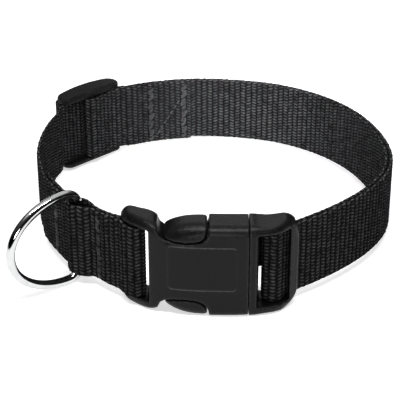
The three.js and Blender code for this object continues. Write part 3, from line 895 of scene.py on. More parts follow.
@dataclass
class Webbing:
    """The woven band, with the relief of its cords and yarns and its firm woven edges.

    The swells, where layers or the ring push the upper edge up, are each an x, a y, a rise and a reach.
    """

    band: Band
    finish: WovenFinish = field(default_factory=WovenFinish)
    relief: float = 0.42 * MM
    crown_share: float = 0.5
    dip_share: float = 0.2
    gap_share: float = -0.5
    edge_steps: int = 4
    edge_play: float = 0.16 * MM
    wave_share: float = 0.6
    wave_pace: float = 0.55
    cord_share: float = 0.5
    nick_share: float = -0.9
    edge_power: int = 6
    swell_power: int = 3
    swells: tuple[tuple[float, float, float, float], ...] = (
        (-43.9 * MM, -44.6 * MM, 1.7 * MM, 6.0 * MM), (-29.5 * MM, -55.5 * MM, 1.4 * MM, 9.0 * MM),
    )

    def build(self) -> bpy.types.Object:
        """Makes the finished band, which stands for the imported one.

        Returns:
            The band.
        """
        width = self.band.high - self.band.low
        half = self.band.thickness / 2 - self.relief / 4
        flat = width - 2 * half
        rows = 2 * round(flat / self.finish.yarn_pitch)
        around = 2 * (rows + self.edge_steps)
        middle = (self.band.low + self.band.high) / 2
        frames = [self.band.frame_at(distance) for distance in self.band.at]
        sections = [self._section_point(j, rows, flat, half) for j in range(around)]
        rises = [self._rise(point) for point, _, _ in frames]

        def place(i: int, j: int) -> Vector:
            """Places a point of the band's surface.

            Args:
                i: its station along the band.
                j: its number round the section.

            Returns:
                The point.
            """
            point, _, left = frames[i]
            out, up, facing, _ = sections[j]
            raised = self._relief(i, j) * facing
            nearness = abs(up) / (width / 2)
            height = up + math.copysign(self._edge_wave(i) * nearness ** self.edge_power, up)
            if up > 0:
                height += rises[i] * nearness ** self.swell_power
            return point + left * (out + raised) + Vector((0, 0, middle + height))

        bm = loft(len(frames), around, place)
        self._unwrap(bm, [section[3] for section in sections])
        obj = finished(bm, "webbing_band", self.finish.material())
        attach(obj, BODY_COLLAR)
        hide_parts("webbing")
        return obj

    def _rise(self, point: Vector) -> float:
        """Adds up the swells at a place.

        Args:
            point: the place on the middle line.

        Returns:
            How far the upper edge is pushed up there.
        """
        return sum(
            rise * math.exp(-((point.x - x) ** 2 + (point.y - y) ** 2) / reach ** 2)
            for x, y, rise, reach in self.swells
        )

    @staticmethod
    def _in_gap(i: int) -> bool:
        """Returns whether a station lies in the gap after a cord: each has two stations, then one gap."""
        return i % STATIONS_PER_CORD == STATIONS_PER_CORD - 1

    def _edge_wave(self, i: int) -> float:
        """Returns how far a woven edge stands out at a station, on a slow wave with a nick at each gap."""
        share = self.nick_share if self._in_gap(i) else self.cord_share
        return self.edge_play * (self.wave_share * math.sin(i * self.wave_pace) + share)

    def _section_point(
        self, j: int, rows: int, flat: float, half: float
    ) -> tuple[float, float, float, float]:
        """Finds a place round the band's section.

        Args:
            j: its number round the section.
            rows: the steps across one face.
            flat: the width of one face.
            half: half the thickness.

        Returns:
            How far out it lies, how far up, which way its relief stands, and its way from the middle of
            the face, measured along the surface.
        """
        turn = rows + self.edge_steps
        side = 1.0 if j < turn else -1.0
        k = j % turn
        if k < rows:
            up = side * flat * (k / rows - 0.5)
            return side * half, up, side, up
        angle = (k - rows) / self.edge_steps * math.pi
        facing = side if k == rows else 0.0
        way = side * (flat / 2 + half * min(angle, math.pi - angle))
        return side * half * math.cos(angle), side * (flat / 2 + half * math.sin(angle)), facing, way

    def _relief(self, i: int, j: int) -> float:
        """Finds how far a point stands proud, the yarns rising on every other cord.

        Args:
            i: its station along the band.
            j: its number round the section.

        Returns:
            The height over the plain face.
        """
        if self._in_gap(i):
            return self.relief * self.gap_share
        crown = (i // STATIONS_PER_CORD + j) % 2 == 0
        return self.relief * (self.crown_share if crown else self.dip_share)

    def _unwrap(self, bm: bmesh.types.BMesh, ways: Sequence[float]) -> None:
        """Gives each corner its distance along the band and its way up the face, in metres.

        Args:
            bm: the band's mesh.
            ways: the way up the face of each point round the section.
        """
        layer = bm.loops.layers.uv.new("weave")
        station = bm.verts.layers.int["station"]
        turn = bm.verts.layers.int["around"]
        for face in bm.faces:
            for loop in face.loops:
                loop[layer].uv = (self.band.at[loop.vert[station]], ways[loop.vert[turn]])


@dataclass
class Seams:
    """The thread that holds the band: bars of close stitches across it, and a slanted row between two.

    The inner places are distances from the band's end at the slider, the outer ones lie on the plan. A waver
    is the size and the pace of an unevenness from stitch to stitch.
    """

    band: Band
    finish: ThreadFinish = field(default_factory=ThreadFinish)
    inner_bars: tuple[float, ...] = (2.8 * MM, 16.7 * MM)
    inner_row: tuple[float, float] = (13.9 * MM, 4.3 * MM)
    outer_bars: tuple[tuple[float, float], ...] = ((-52.0 * MM, -32.2 * MM), (-37.9 * MM, -51.0 * MM))
    thread: float = 0.52 * MM
    proud: float = 0.30 * MM
    sunk_share: float = 0.4
    arch_power: float = 0.6
    bar_width: float = 1.7 * MM
    bar_pitch: float = 1.75 * MM
    bar_tilt: float = 0.5
    strand_shift: float = 0.42
    start_share: float = 0.1
    height_share: float = 0.8
    start_waver: tuple[float, float] = (0.16, 1.9)
    tilt_waver: tuple[float, float] = (0.3, 2.7)
    width_waver: tuple[float, float] = (0.22, 3.3)
    place_waver: tuple[float, float] = (0.12, 1.3)
    height_waver: tuple[float, float] = (0.4, 2.4)
    margin: float = 0.7 * MM
    row_stitch: float = 1.1 * MM
    row_gap: float = 1.2 * MM
    row_low: float = 3.6 * MM
    row_high: float = 7.0 * MM
    sides: int = 6
    steps: int = 5

    def build(self) -> bpy.types.Object:
        """Sews every bar and row.

        Returns:
            All the stitching as one piece.
        """
        tail = self.band.length
        bm = bmesh.new()
        for back in self.inner_bars:
            self._bar(bm, tail - back, Side.INNER)
        self._row(bm, *(tail - back for back in self.inner_row), Side.INNER)
        for place in self.outer_bars:
            self._bar(bm, self.band.outermost(place), Side.OUTER)
        obj = finished(bm, "sewn_seams", self.finish.material())
        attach(obj, BODY_COLLAR)
        return obj

    @staticmethod
    def _uneven(i: int, waver: tuple[float, float], phase: float = 0.0) -> float:
        """Returns a waver's amount for a stitch by its number."""
        size, pace = waver
        return size * math.sin(i * pace + phase)

    def _bar(self, bm: bmesh.types.BMesh, distance: float, side: Side) -> None:
        """Adds a zigzag of close stitches across the band, as uneven as a sewing machine's.

        Args:
            bm: the mesh that it goes into.
            distance: the place along the band.
            side: the face that it lies on.
        """
        low, high = self.band.low + self.margin, self.band.high - self.margin
        count = int((high - low) / self.bar_pitch)
        for i in range(count):
            start = low + (i + self.start_share + self._uneven(i, self.start_waver)) * self.bar_pitch
            tilt = self.bar_pitch * (self.bar_tilt + self._uneven(i, self.tilt_waver))
            half = self.bar_width / 2 * (1.0 + self._uneven(i, self.width_waver))
            middle = distance + self.bar_width * self._uneven(i, self.place_waver)
            for shift in (0.0, self.strand_shift * self.bar_pitch):
                ends = ((middle - half, start + shift), (middle + half, start + tilt + shift))
                share = self.height_share + self._uneven(i, self.height_waver, shift / MM)
                self._stitch(bm, ends, side, self.proud * share)

    def _row(self, bm: bmesh.types.BMesh, first: float, last: float, side: Side) -> None:
        """Adds a slanted row of running stitches from the band's lower edge to its upper one.

        Args:
            bm: the mesh that it goes into.
            first: where the row starts along the band.
            last: where it ends.
            side: the face that it lies on.
        """
        low, high = self.band.low + self.row_low, self.band.high - self.row_high
        length = math.hypot(last - first, high - low)
        pitch = self.row_stitch + self.row_gap
        count = int(length / pitch)
        for i in range(count):
            start = i + self.start_share
            shares = (start / count, (start + self.row_stitch / pitch) / count)
            ends = tuple((first + share * (last - first), low + share * (high - low)) for share in shares)
            self._stitch(bm, ends, side, self.proud)

    def _stitch(
        self, bm: bmesh.types.BMesh, ends: Sequence[tuple[float, float]], side: Side, proud: float
    ) -> None:
        """Adds one stitch, which dives into the band at both ends.

        Args:
            bm: the mesh that it goes into.
            ends: its two ends, each a place along the band and a height.
            side: the face that it lies on.
            proud: how far its middle stands off the face.
        """
        (start, low), (stop, high) = ends
        path = []
        for step in range(self.steps):
            share = step / (self.steps - 1)
            arch = math.sin(math.pi * share)
            lift = proud * arch ** self.arch_power - self.thread * self.sunk_share * (1 - arch)
            distance = start + share * (stop - start)
            path.append(self.band.on_face(distance, low + share * (high - low), side, lift))
        thread = tube(path, self.thread / 2, self.sides)
        mesh = bpy.data.meshes.new("stitch")
        thread.to_mesh(mesh)
        thread.free()
        bm.from_mesh(mesh)
        bpy.data.meshes.remove(mesh)


def tube(path: Sequence[Vector], radius: float, sides: int, closed: bool = False) -> bmesh.types.BMesh:
    """Makes a round wire along a path.

    Args:
        path: the points of its middle line.
        radius: the wire's radius.
        sides: the points round it.
        closed: whether the path comes back to its start.

    Returns:
        The wire's mesh.
    """
    count = len(path)
    frames = []
    side = None
    for i in range(count):
        ahead = path[(i + 1) % count] if closed else path[min(i + 1, count - 1)]
        behind = path[i - 1] if closed else path[max(i - 1, 0)]
        along = (ahead - behind).normalized()
        if side is None:
            side = along.orthogonal().normalized()
        side = (side - along * side.dot(along)).normalized()
        frames.append((path[i], side, along.cross(side)))

    def place(i: int, j: int) -> Vector:
        """Places a point of the wire's surface.

        Args:
            i: its place along the path.
            j: its number round the wire.

        Returns:
            The point.
        """
        centre, out, up = frames[i]
        angle = 2 * math.pi * j / sides
        return centre + (out * math.cos(angle) + up * math.sin(angle)) * radius

    return loft(count, sides, place, closed)


class Solid:
    """A closed body that is cut and joined, then softened like moulded plastic."""

    def __init__(self, name: str, bm: bmesh.types.BMesh) -> None:
        """Makes the body.

        Args:
            name: its object's name.
            bm: its closed mesh, freed afterwards.
        """
        mesh = bpy.data.meshes.new(name)
        bmesh.ops.recalc_face_normals(bm, faces=bm.faces)
        bm.to_mesh(mesh)
        bm.free()
        self.name = name
        self.obj = bpy.data.objects.new(name, mesh)
        bpy.context.scene.collection.objects.link(self.obj)

    def _with(self, operation: str, tool: "bmesh.types.BMesh | Solid") -> "Solid":
        """Applies a Boolean with another body, which is used up.

        Args:
            operation: UNION, DIFFERENCE or INTERSECT.
            tool: the other body.

        Returns:
            This body.
        """
        other = tool if isinstance(tool, Solid) else Solid(self.name + "_tool", tool)
        modifier = self.obj.modifiers.new("shape", "BOOLEAN")
        modifier.operation = operation
        modifier.solver = "EXACT"
        modifier.object = other.obj
        apply_modifiers(self.obj)
        mesh = other.obj.data
        bpy.data.objects.remove(other.obj)
        bpy.data.meshes.remove(mesh)
        return self

    def joined(self, tool: "bmesh.types.BMesh | Solid") -> "Solid":
        """Adds another body to this one."""
        return self._with("UNION", tool)

    def cut(self, tool: "bmesh.types.BMesh | Solid") -> "Solid":
        """Takes another body out of this one."""
        return self._with("DIFFERENCE", tool)

    def kept_inside(self, tool: "bmesh.types.BMesh | Solid") -> "Solid":
        """Keeps what lies inside another body."""
        return self._with("INTERSECT", tool)

    def softened(self, voxel: float, passes: int) -> "Solid":
        """Rounds every edge a little, by an even mesh that is then smoothed.

        Args:
            voxel: the size of the even mesh's faces.
            passes: the rounds of smoothing.

        Returns:
            This body.
        """
        remesh = self.obj.modifiers.new("even", "REMESH")
        remesh.mode = "VOXEL"
        remesh.voxel_size = voxel
        smooth = self.obj.modifiers.new("round", "SMOOTH")
        smooth.factor = 0.5
        smooth.iterations = passes
        apply_modifiers(self.obj)
        return self

    def worn(self, rounds: int = 3, gain: float = 4.0) -> "Solid":
        """Stores how sharply each point stands out, for the wear and the painted highlight along the edges.

        Args:
            rounds: how many times the wear is spread to its neighbours.
            gain: how much wear a bend brings.

        Returns:
            This body.
        """
        mesh = self.obj.data
        count = len(mesh.vertices)
        places = np.empty(count * 3)
        mesh.vertices.foreach_get("co", places)
        places = places.reshape(-1, 3)
        normals = np.empty(count * 3)
        mesh.vertices.foreach_get("normal", normals)
        normals = normals.reshape(-1, 3)
        ends = np.empty(len(mesh.edges) * 2, dtype=np.int64)
        mesh.edges.foreach_get("vertices", ends)
        first, second = ends.reshape(-1, 2).T
        steps = places[first] - places[second]
        sizes = np.maximum(np.linalg.norm(steps, axis=1), MERGE_WITHIN)
        bend, links = np.zeros(count), np.zeros(count)
        np.add.at(bend, first, (normals[first] * steps).sum(axis=1) / sizes)
        np.add.at(bend, second, -(normals[second] * steps).sum(axis=1) / sizes)
        np.add.at(links, first, 1.0)
        np.add.at(links, second, 1.0)
        bend /= np.maximum(links, 1.0)
        for _ in range(rounds):
            spread = np.zeros(count)
            np.add.at(spread, first, bend[second])
            np.add.at(spread, second, bend[first])
            bend = (bend + spread / np.maximum(links, 1.0)) / 2
        layer = mesh.attributes.new("edge_wear_and_highlight", "FLOAT", "POINT")
        layer.data.foreach_set("value", np.clip(bend * gain, 0.0, 1.0))
        return self

    def dressed(self, material: bpy.types.Material) -> bpy.types.Object:
        """Gives the body its material and smooth shading.

        Args:
            material: its finish.

        Returns:
            Its object.
        """
        mesh = self.obj.data
        mesh.materials.clear()
        mesh.materials.append(material)
        mesh.polygons.foreach_set("use_smooth", [True] * len(mesh.polygons))
        return self.obj


def block(low: Sequence[float], high: Sequence[float], radius: float = 0.0) -> bmesh.types.BMesh:
    """Makes a box with rounded edges.

    Args:
        low: its lowest corner.
        high: its highest corner.
        radius: the radius of its edges.

    Returns:
        The box.
    """
    bm = bmesh.new()
    bmesh.ops.create_cube(bm, size=1.0)
    size = Vector(high) - Vector(low)
    bmesh.ops.scale(bm, vec=size, verts=bm.verts)
    bmesh.ops.translate(bm, vec=(Vector(low) + Vector(high)) / 2, verts=bm.verts)
    if radius:
        bmesh.ops.bevel(
            bm, geom=bm.edges[:], offset=radius, segments=4, profile=0.5, affect="EDGES", material=-1
        )
    return bm


def upright(
    x: float, y: float, radius: float, low: float, high: float, sides: int = 40
) -> bmesh.types.BMesh:
    """Makes an upright round bar.

    Args:
        x: its place across.
        y: its depth.
        radius: its radius.
        low: its lower height.
        high: its upper height.
        sides: the points round it.

    Returns:
        The bar.
    """
    bm = bmesh.new()
    bmesh.ops.create_cone(
        bm, cap_ends=True, segments=sides, radius1=radius, radius2=radius, depth=high - low,
        matrix=Matrix.Translation((x, y, (low + high) / 2)),
    )
    return bm


def prism(outline: Sequence[tuple[float, float]], front: float, back: float) -> bmesh.types.BMesh:
    """Makes a body from an outline seen from the front.

    Args:
        outline: its corners, across and up.
        front: the depth where it starts.
        back: the depth where it ends.

    Returns:
        The body.
    """
    bm = bmesh.new()
    face = bm.faces.new([bm.verts.new((x, front, z)) for x, z in outline])
    moved = bmesh.ops.extrude_face_region(bm, geom=[face])
    verts = [item for item in moved["geom"] if isinstance(item, bmesh.types.BMVert)]
    bmesh.ops.translate(bm, vec=(0.0, back - front, 0.0), verts=verts)
    bmesh.ops.recalc_face_normals(bm, faces=bm.faces)
    return bm


@dataclass(frozen=True)
class BuckleShape:
    """The buckle's swept body, shared by the socket and the clip.

    Rows give, for a share of half the length from the middle, how far the front falls back and how thick the
    body is. The past sizes say how far a cutter reaches beyond what it cuts.
    """

    middle: float = -0.686 * MM
    half_length: float = 29.4 * MM
    front: float = -69.646 * MM
    sweep: float = 11.0 * MM
    thickness: float = 12.6 * MM
    mid_height: float = 16.2 * MM
    half_height: float = 16.2 * MM
    slot_half: float = 13.3 * MM
    seam: float = 12.414 * MM
    bar_radius: float = 2.0 * MM
    bar_seat: float = 0.6 * MM
    slab_step: float = 1.2 * MM
    corner_steps: int = 8
    past_end: float = 2.0 * MM
    past_face: float = 8.0 * MM
    past_front: float = 5.0 * MM
    past_back: float = 25.0 * MM
    rows: tuple[tuple[float, float, float], ...] = (
        (-1.00, 1.13, 0.56), (-0.94, 0.99, 0.62), (-0.86, 0.82, 0.74), (-0.76, 0.58, 0.83),
        (-0.65, 0.38, 0.91), (-0.46, 0.18, 0.95), (-0.26, 0.06, 0.99), (0.03, 0.00, 1.00), (0.42, 0.00, 1.00),
        (0.69, 0.13, 0.90), (0.81, 0.29, 0.80), (0.90, 0.52, 0.66), (1.00, 0.74, 0.50),
    )

    @property
    def left(self) -> float:
        """Returns the socket's far end."""
        return self.middle - self.half_length

    @property
    def right(self) -> float:
        """Returns the clip's far end."""
        return self.middle + self.half_length

    @property
    def bar_reach(self) -> float:
        """Returns half the length of a webbing bar, with what sinks into the frame."""
        return self.slot_half + self.bar_seat

    def front_at(self, x: float) -> float:
        """Returns the depth of the front face."""
        return self.front + self.sweep * read_table(self.rows, 1, (x - self.middle) / self.half_length)

    def back_at(self, x: float) -> float:
        """Returns the depth of the back face."""
        thick = read_table(self.rows, 2, (x - self.middle) / self.half_length)
        return self.front_at(x) + self.thickness * thick

    def body(
        self, stations: Sequence[float], up: Callable[[float], float], down: Callable[[float], float],
        inset: float = 0.0, round_front: float = 3.4 * MM, round_back: float = 1.7 * MM,
    ) -> bmesh.types.BMesh:
        """Sweeps the rounded section along the buckle.

        Args:
            stations: the places across, from left to right.
            up: the upper height over the middle at a place.
            down: the lower height under the middle at a place.
            inset: how far the front and the back are drawn in.
            round_front: the radius of the upper front corner.
            round_back: the radius of the other corners.

        Returns:
            The closed body.
        """
        sections = []
        for x in stations:
            low = (self.front_at(x) + inset, self.mid_height - down(x))
            high = (self.back_at(x) - inset, self.mid_height + up(x))
            radii = (round_back, round_front, round_back, round_back)
            sections.append(rounded_box_section(low, high, radii, self.corner_steps))

        def place(i: int, j: int) -> Vector:
            """Returns a point of the section at a station."""
            y, z = sections[i][j]
            return Vector((stations[i], y, z))

        return loft(len(stations), len(sections[0]), place)

    def slab(
        self, left: float, right: float, front_in: float, back_in: float, low: float, high: float
    ) -> bmesh.types.BMesh:
        """Makes a sharp-edged slice of the body.

        Args:
            left: where it starts across.
            right: where it ends across.
            front_in: how far its front is drawn in.
            back_in: how far its back is drawn in.
            low: its lower height under the middle.
            high: its upper height over the middle.

        Returns:
            The slice.
        """
        stations = evenly(left, right, max(2, round((right - left) / self.slab_step)))

        def place(i: int, j: int) -> Vector:
            """Places a corner of the slice.

            Args:
                i: its station across.
                j: its number round the slice.

            Returns:
                The corner.
            """
            x = stations[i]
            y = self.front_at(x) + front_in if j in (0, 3) else self.back_at(x) - back_in
            return Vector((x, y, self.mid_height + (high if j > 1 else -low)))

        return loft(len(stations), 4, place)

    def slot(self, left: float, right: float, front_in: float | None = None) -> bmesh.types.BMesh:
        """Makes the cutter of a slot for the webbing.

        Args:
            left: where it starts across.
            right: where it ends across.
            front_in: how far back it starts, or None for right through.

        Returns:
            The cutter.
        """
        front = -self.past_face if front_in is None else front_in
        return self.slab(left, right, front, -self.past_face, self.slot_half, self.slot_half)

    def webbing_bar(self, place: tuple[float, float]) -> bmesh.types.BMesh:
        """Makes the round bar that the webbing turns round, at a place on the plan."""
        heights = (self.mid_height - self.bar_reach, self.mid_height + self.bar_reach)
        return upright(*place, self.bar_radius, *heights)

    def through(self, outline: Sequence[tuple[float, float]]) -> bmesh.types.BMesh:
        """Makes a body from an outline seen from the front, which passes through the whole buckle."""
        return prism(outline, self.front - self.past_front, self.front + self.past_back)


@dataclass
class BuckleSocket:
    """The socket: a hollow collar that the clip plugs into, and an open frame with the band's bar."""

    shape: BuckleShape
    finish: MouldedPlastic
    wall: float = 1.8 * MM
    bar: tuple[float, float] = (-24.686 * MM, -59.096 * MM)
    slot_right: float = -19.9 * MM
    cavity_left: float = -13.486 * MM
    cavity_past: float = 1.0 * MM
    front_depth: float = 0.8 * MM
    stations: int = 60
    voxel: float = 0.36 * MM
    smoothing: int = 4
    notch: tuple[tuple[float, float], ...] = (
        (-17.4, 19.0), (-16.9, 13.6), (-16.2, 12.1), (-14.4, 10.9), (-11.4, 10.3), (-8.0, 10.1), (-5.0, 10.4),
        (-2.6, 11.1), (-1.3, 12.3), (-0.6, 13.9), (-0.3, 16.0), (-0.2, 19.0),
    )
    heights: tuple[tuple[float, float], ...] = (
        (-30.086, 10.8), (-29.7, 12.4), (-28.8, 14.2), (-27.4, 15.8), (-25.6, 16.2), (-23.0, 16.2),
        (-20.5, 16.1), (-18.4, 15.6), (-16.8, 14.6), (-15.2, 13.2), (-14.0, 12.4), (-12.6, 12.6),
        (-10.0, 15.2), (-8.0, 16.0), (12.414, 16.0),
    )
    panel: Panel = field(default_factory=Panel)

    def build(self) -> bpy.types.Object:
        """Makes the finished socket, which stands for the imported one.

        Returns:
            The socket.
        """
        shape = self.shape
        stations = evenly(shape.left, shape.seam, self.stations)
        solid = Solid("buckle_socket_shell", shape.body(stations, self._height, self._height))
        for sign in (1, -1):
            solid.cut(self._notch(sign))
        inside = shape.half_height - self.wall
        solid.cut(shape.slab(
            self.cavity_left, shape.seam + self.cavity_past, self.wall, self.wall, inside, inside
        ))
        solid.cut(shape.slot(shape.left - shape.past_end, self.slot_right))
        solid.joined(shape.webbing_bar(self.bar))
        solid.softened(self.voxel, self.smoothing)
        self._raise_panel(solid.obj.data)
        obj = solid.worn().dressed(self.finish.material())
        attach(obj, BODY_COLLAR)
        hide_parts("buckle_socket")
        return obj

    def _height(self, x: float) -> float:
        """Returns half the socket's height at a place."""
        return read_table(self.heights, 1, x / MM) * MM

    def _notch(self, sign: int) -> bmesh.types.BMesh:
        """Makes the cutter of the press window.

        Args:
            sign: 1 for the upper window, -1 for the lower one.

        Returns:
            The cutter.
        """
        return self.shape.through([(x * MM, self.shape.mid_height + sign * z * MM) for x, z in self.notch])

    def _raise_panel(self, mesh: bpy.types.Mesh) -> None:
        """Moves the front panel out, with a narrow slope round it.

        Args:
            mesh: the socket's mesh.
        """
        for vert in mesh.vertices:
            if vert.co.y < self.shape.front_at(vert.co.x) + self.front_depth:
                vert.co.y -= self.panel.raised(vert.co.x, vert.co.z)


@dataclass
class BuckleClip:
    """The clip: a frame with the band's bar and an end bar, and two sprung tabs in the socket's windows."""

    shape: BuckleShape
    finish: MouldedPlastic
    gap: float = 0.12 * MM
    plate: float = 2.53 * MM
    web_right: float = 17.0 * MM
    low_web_right: float = 15.75 * MM
    web_depth: float = 9.6 * MM
    web_back: float = 0.2 * MM
    web_low: float = 3.0 * MM
    end_bar: float = 2.8 * MM
    end_bar_depth: float = 3.0 * MM
    bar: tuple[float, float] = (20.414 * MM, -61.744 * MM)
    corner: float = 6.0 * MM
    scoop_at: float = 18.8 * MM
    scoop_behind: float = 7.0 * MM
    scoop_over: float = 2.3 * MM
    scoop_radii: tuple[float, float, float] = (7.8 * MM, 17.0 * MM, 3.2 * MM)
    arm_left: float = -12.8 * MM
    arm_past_seam: float = 1.4 * MM
    arm_inset: float = 2.2 * MM
    arm_heights: tuple[float, float] = (9.6 * MM, 12.9 * MM)
    tab_gap: float = 0.5 * MM
    tab_half: float = 7.6 * MM
    tab_root: float = -6.0 * MM
    tab_inset: float = 0.25 * MM
    tab_round_front: float = 5.0 * MM
    tab_round_back: float = 2.8 * MM
    tab_stations: int = 24
    stations: int = 40
    voxel: float = 0.34 * MM
    smoothing: int = 4
    tab_heights: tuple[tuple[float, float], ...] = (
        (-15.2, 11.4), (-14.9, 12.4), (-14.0, 13.4), (-12.3, 14.4), (-10.0, 15.3), (-7.5, 15.9), (-5.0, 16.2),
        (-2.6, 16.3), (-1.4, 16.2), (-0.9, 15.7),
    )

    def build(self, notch: Sequence[tuple[float, float]]) -> bpy.types.Object:
        """Makes the finished clip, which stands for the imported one.

        Args:
            notch: the outline of the socket's window, in millimetres.

        Returns:
            The clip.
        """
        shape = self.shape
        left, right = shape.seam + self.gap, shape.right
        angles = evenly(0.0, math.pi / 2, self.stations)
        stations = [left + (right - left) * math.sin(angle) for angle in angles]
        solid = Solid("buckle_clip_frame", shape.body(stations, self._height, self._height))
        slot_left = left + self.plate
        solid.cut(shape.slot(slot_left, right - self.end_bar))
        solid.cut(shape.slot(slot_left, right + shape.past_end, self.end_bar_depth))
        solid.joined(shape.webbing_bar(self.bar))
        web_left = slot_left - self.plate / 2
        for web_right, depth, low in (
            (self.web_right, self.web_depth, self.web_low),
            (self.low_web_right, self.web_depth / 2, shape.bar_reach),
        ):
            solid.joined(shape.slab(web_left, web_right, depth, self.web_back, low, shape.bar_reach))
        for sign in (1, -1):
            solid.cut(self._scoop(sign))
            solid.joined(self._tab(notch, sign))
            solid.joined(self._arm(sign))
        solid.softened(self.voxel, self.smoothing)
        obj = solid.worn().dressed(self.finish.material())
        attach(obj, BODY_COLLAR)
        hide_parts("buckle_clip")
        return obj

    def _height(self, x: float) -> float:
        """Returns half the clip's height at a place."""
        past = min(max((x - (self.shape.right - self.corner)) / self.corner, 0.0), 1.0)
        return self.shape.half_height - self.corner * (1 - math.sqrt(1 - past * past))

    def _scoop(self, sign: int) -> bmesh.types.BMesh:
        """Makes the cutter of a finger scoop.

        Args:
            sign: 1 for the upper scoop, -1 for the lower one.

        Returns:
            The cutter.
        """
        bm = bmesh.new()
        bmesh.ops.create_uvsphere(bm, u_segments=48, v_segments=32, radius=1.0)
        bmesh.ops.scale(bm, vec=self.scoop_radii, verts=bm.verts)
        depth = self.shape.front_at(self.scoop_at) + self.scoop_behind
        height = self.shape.mid_height + sign * (self.shape.half_height + self.scoop_over)
        bmesh.ops.translate(bm, vec=(self.scoop_at, depth, height), verts=bm.verts)
        return bm

    def _tab(self, notch: Sequence[tuple[float, float]], sign: int) -> Solid:
        """Makes a press tab, a dome that fills the socket's window but for a narrow gap.

        Args:
            notch: the outline of the window, in millimetres.
            sign: 1 for the upper tab, -1 for the lower one.

        Returns:
            The tab.
        """
        shape = self.shape
        first, last = self.tab_heights[0][0] * MM, self.tab_heights[-1][0] * MM
        stations = evenly(first, last, self.tab_stations)

        def dome(x: float) -> float:
            """Returns the tab's height over the middle."""
            return read_table(self.tab_heights, 1, x / MM) * MM

        def root(x: float) -> float:
            """Returns the same height everywhere, well inside the socket."""
            return self.tab_root

        up, down = (dome, root) if sign > 0 else (root, dome)
        tab = Solid("tab", shape.body(
            stations, up, down, self.tab_inset, self.tab_round_front, self.tab_round_back
        ))
        middle = sum(x for x, _ in notch) / len(notch)
        share = 1 - self.tab_gap / self.tab_half
        outline = [
            ((middle + (x - middle) * share) * MM, shape.mid_height + sign * (z + self.tab_gap / MM) * MM)
            for x, z in notch
        ]
        return tab.kept_inside(shape.through(outline))

    def _arm(self, sign: int) -> bmesh.types.BMesh:
        """Makes the sprung arm from the plate to a tab.

        Args:
            sign: 1 for the upper arm, -1 for the lower one.

        Returns:
            The arm.
        """
        low, high = sorted(sign * height for height in self.arm_heights)
        right = self.shape.seam + self.arm_past_seam
        return self.shape.slab(self.arm_left, right, self.arm_inset, self.arm_inset, -low, high)


@dataclass
class Slider:
    """The slider: two rails, two end bars and a round bar that the band folds round."""

    finish: MouldedPlastic
    middle: tuple[float, float] = (-47.177 * MM, 50.354 * MM)
    turn: float = math.radians(-134.720)
    length: float = 29.0 * MM
    bow: float = 1.4 * MM
    rise: float = 0.7 * MM
    lower_rail: float = 1.5 * MM
    low: float = 2.8 * MM
    high: float = 28.6 * MM
    rail: float = 2.5 * MM
    bar: float = 2.6 * MM
    inner: float = -2.2 * MM
    outer: float = 4.6 * MM
    centre: tuple[float, float] = (1.0 * MM, -1.0 * MM)
    centre_radius: float = 1.2 * MM
    end_round: float = 3.0 * MM
    rail_softening: float = 0.75 * MM
    softening_share: float = 0.35
    bar_softening: float = 0.6 * MM
    rail_slices: int = 16
    voxel: float = 0.28 * MM
    smoothing: int = 4

    def build(self) -> bpy.types.Object:
        """Makes the finished slider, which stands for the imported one.

        Returns:
            The slider.
        """
        half = self.length / 2
        rails = [
            self._rail(self.low - self.lower_rail, self.low, 0.0),
            self._rail(self.high, self.high + self.rail, self.rise),
        ]
        sunk = self.lower_rail / 2
        bars = [
            block(
                (u - self.bar / 2, self.outer - self.bar, self.low - sunk),
                (u + self.bar / 2, self.outer, self.high + sunk), self.bar_softening,
            )
            for u in (-half + self.bar / 2, half - self.bar / 2)
        ]
        bars.append(upright(*self.centre, self.centre_radius, self.low - sunk, self.high + sunk))
        solid = Solid("slider_frame", rails[0])
        for part in rails[1:] + bars:
            solid.joined(part)
        solid.softened(self.voxel, self.smoothing)
        self._settle(solid.obj.data)
        obj = solid.worn().dressed(self.finish.material())
        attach(obj, BODY_COLLAR)
        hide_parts("slider")
        return obj

    def _rail(self, low: float, high: float, rise: float) -> bmesh.types.BMesh:
        """Makes one rail, bowed outward, round at its ends and softened above and below.

        Args:
            low: its lower height.
            high: its upper height.
            rise: how much higher its middle stands than its ends.

        Returns:
            The rail.
        """
        def is_level(edge: bmesh.types.BMEdge) -> bool:
            """Returns whether an edge lies level."""
            return abs(edge.verts[0].co.z - edge.verts[1].co.z) < CAD_MERGE_WITHIN

        bm = block((-self.length / 2, self.inner, low), (self.length / 2, self.outer, high))
        bmesh.ops.bevel(
            bm, geom=[edge for edge in bm.edges if not is_level(edge)], offset=self.end_round, segments=8,
            profile=0.5, affect="EDGES", material=-1,
        )
        bmesh.ops.bevel(
            bm, geom=[edge for edge in bm.edges if is_level(edge)],
            offset=min(self.rail_softening, self.softening_share * (high - low)), segments=4,
            profile=0.5, affect="EDGES", material=-1,
        )
        for i in range(1, self.rail_slices):
            across = self.length * (i / self.rail_slices - 0.5)
            bmesh.ops.bisect_plane(
                bm, geom=bm.verts[:] + bm.edges[:] + bm.faces[:], plane_co=(across, 0.0, 0.0),
                plane_no=(1.0, 0.0, 0.0), dist=MERGE_WITHIN,
            )
        for vert in bm.verts:
            arch = 1 - (2 * vert.co.x / self.length) ** 2
            vert.co.y += self.bow * arch * max((vert.co.y - self.inner) / (self.outer - self.inner), 0.0)
            vert.co.z += rise * arch * (vert.co.z - low) / (high - low)
        return bm

    def _settle(self, mesh: bpy.types.Mesh) -> None:
        """Turns the frame onto the band, its outer side away from the neck.

        Args:
            mesh: the slider's mesh, made flat at the origin.
        """
        cos, sin = math.cos(self.turn), math.sin(self.turn)
        mesh.transform(Matrix((
            (cos, sin, 0, self.middle[0]), (sin, -cos, 0, self.middle[1]), (0, 0, 1, 0), (0, 0, 0, 1),
        )))
        mesh.flip_normals()


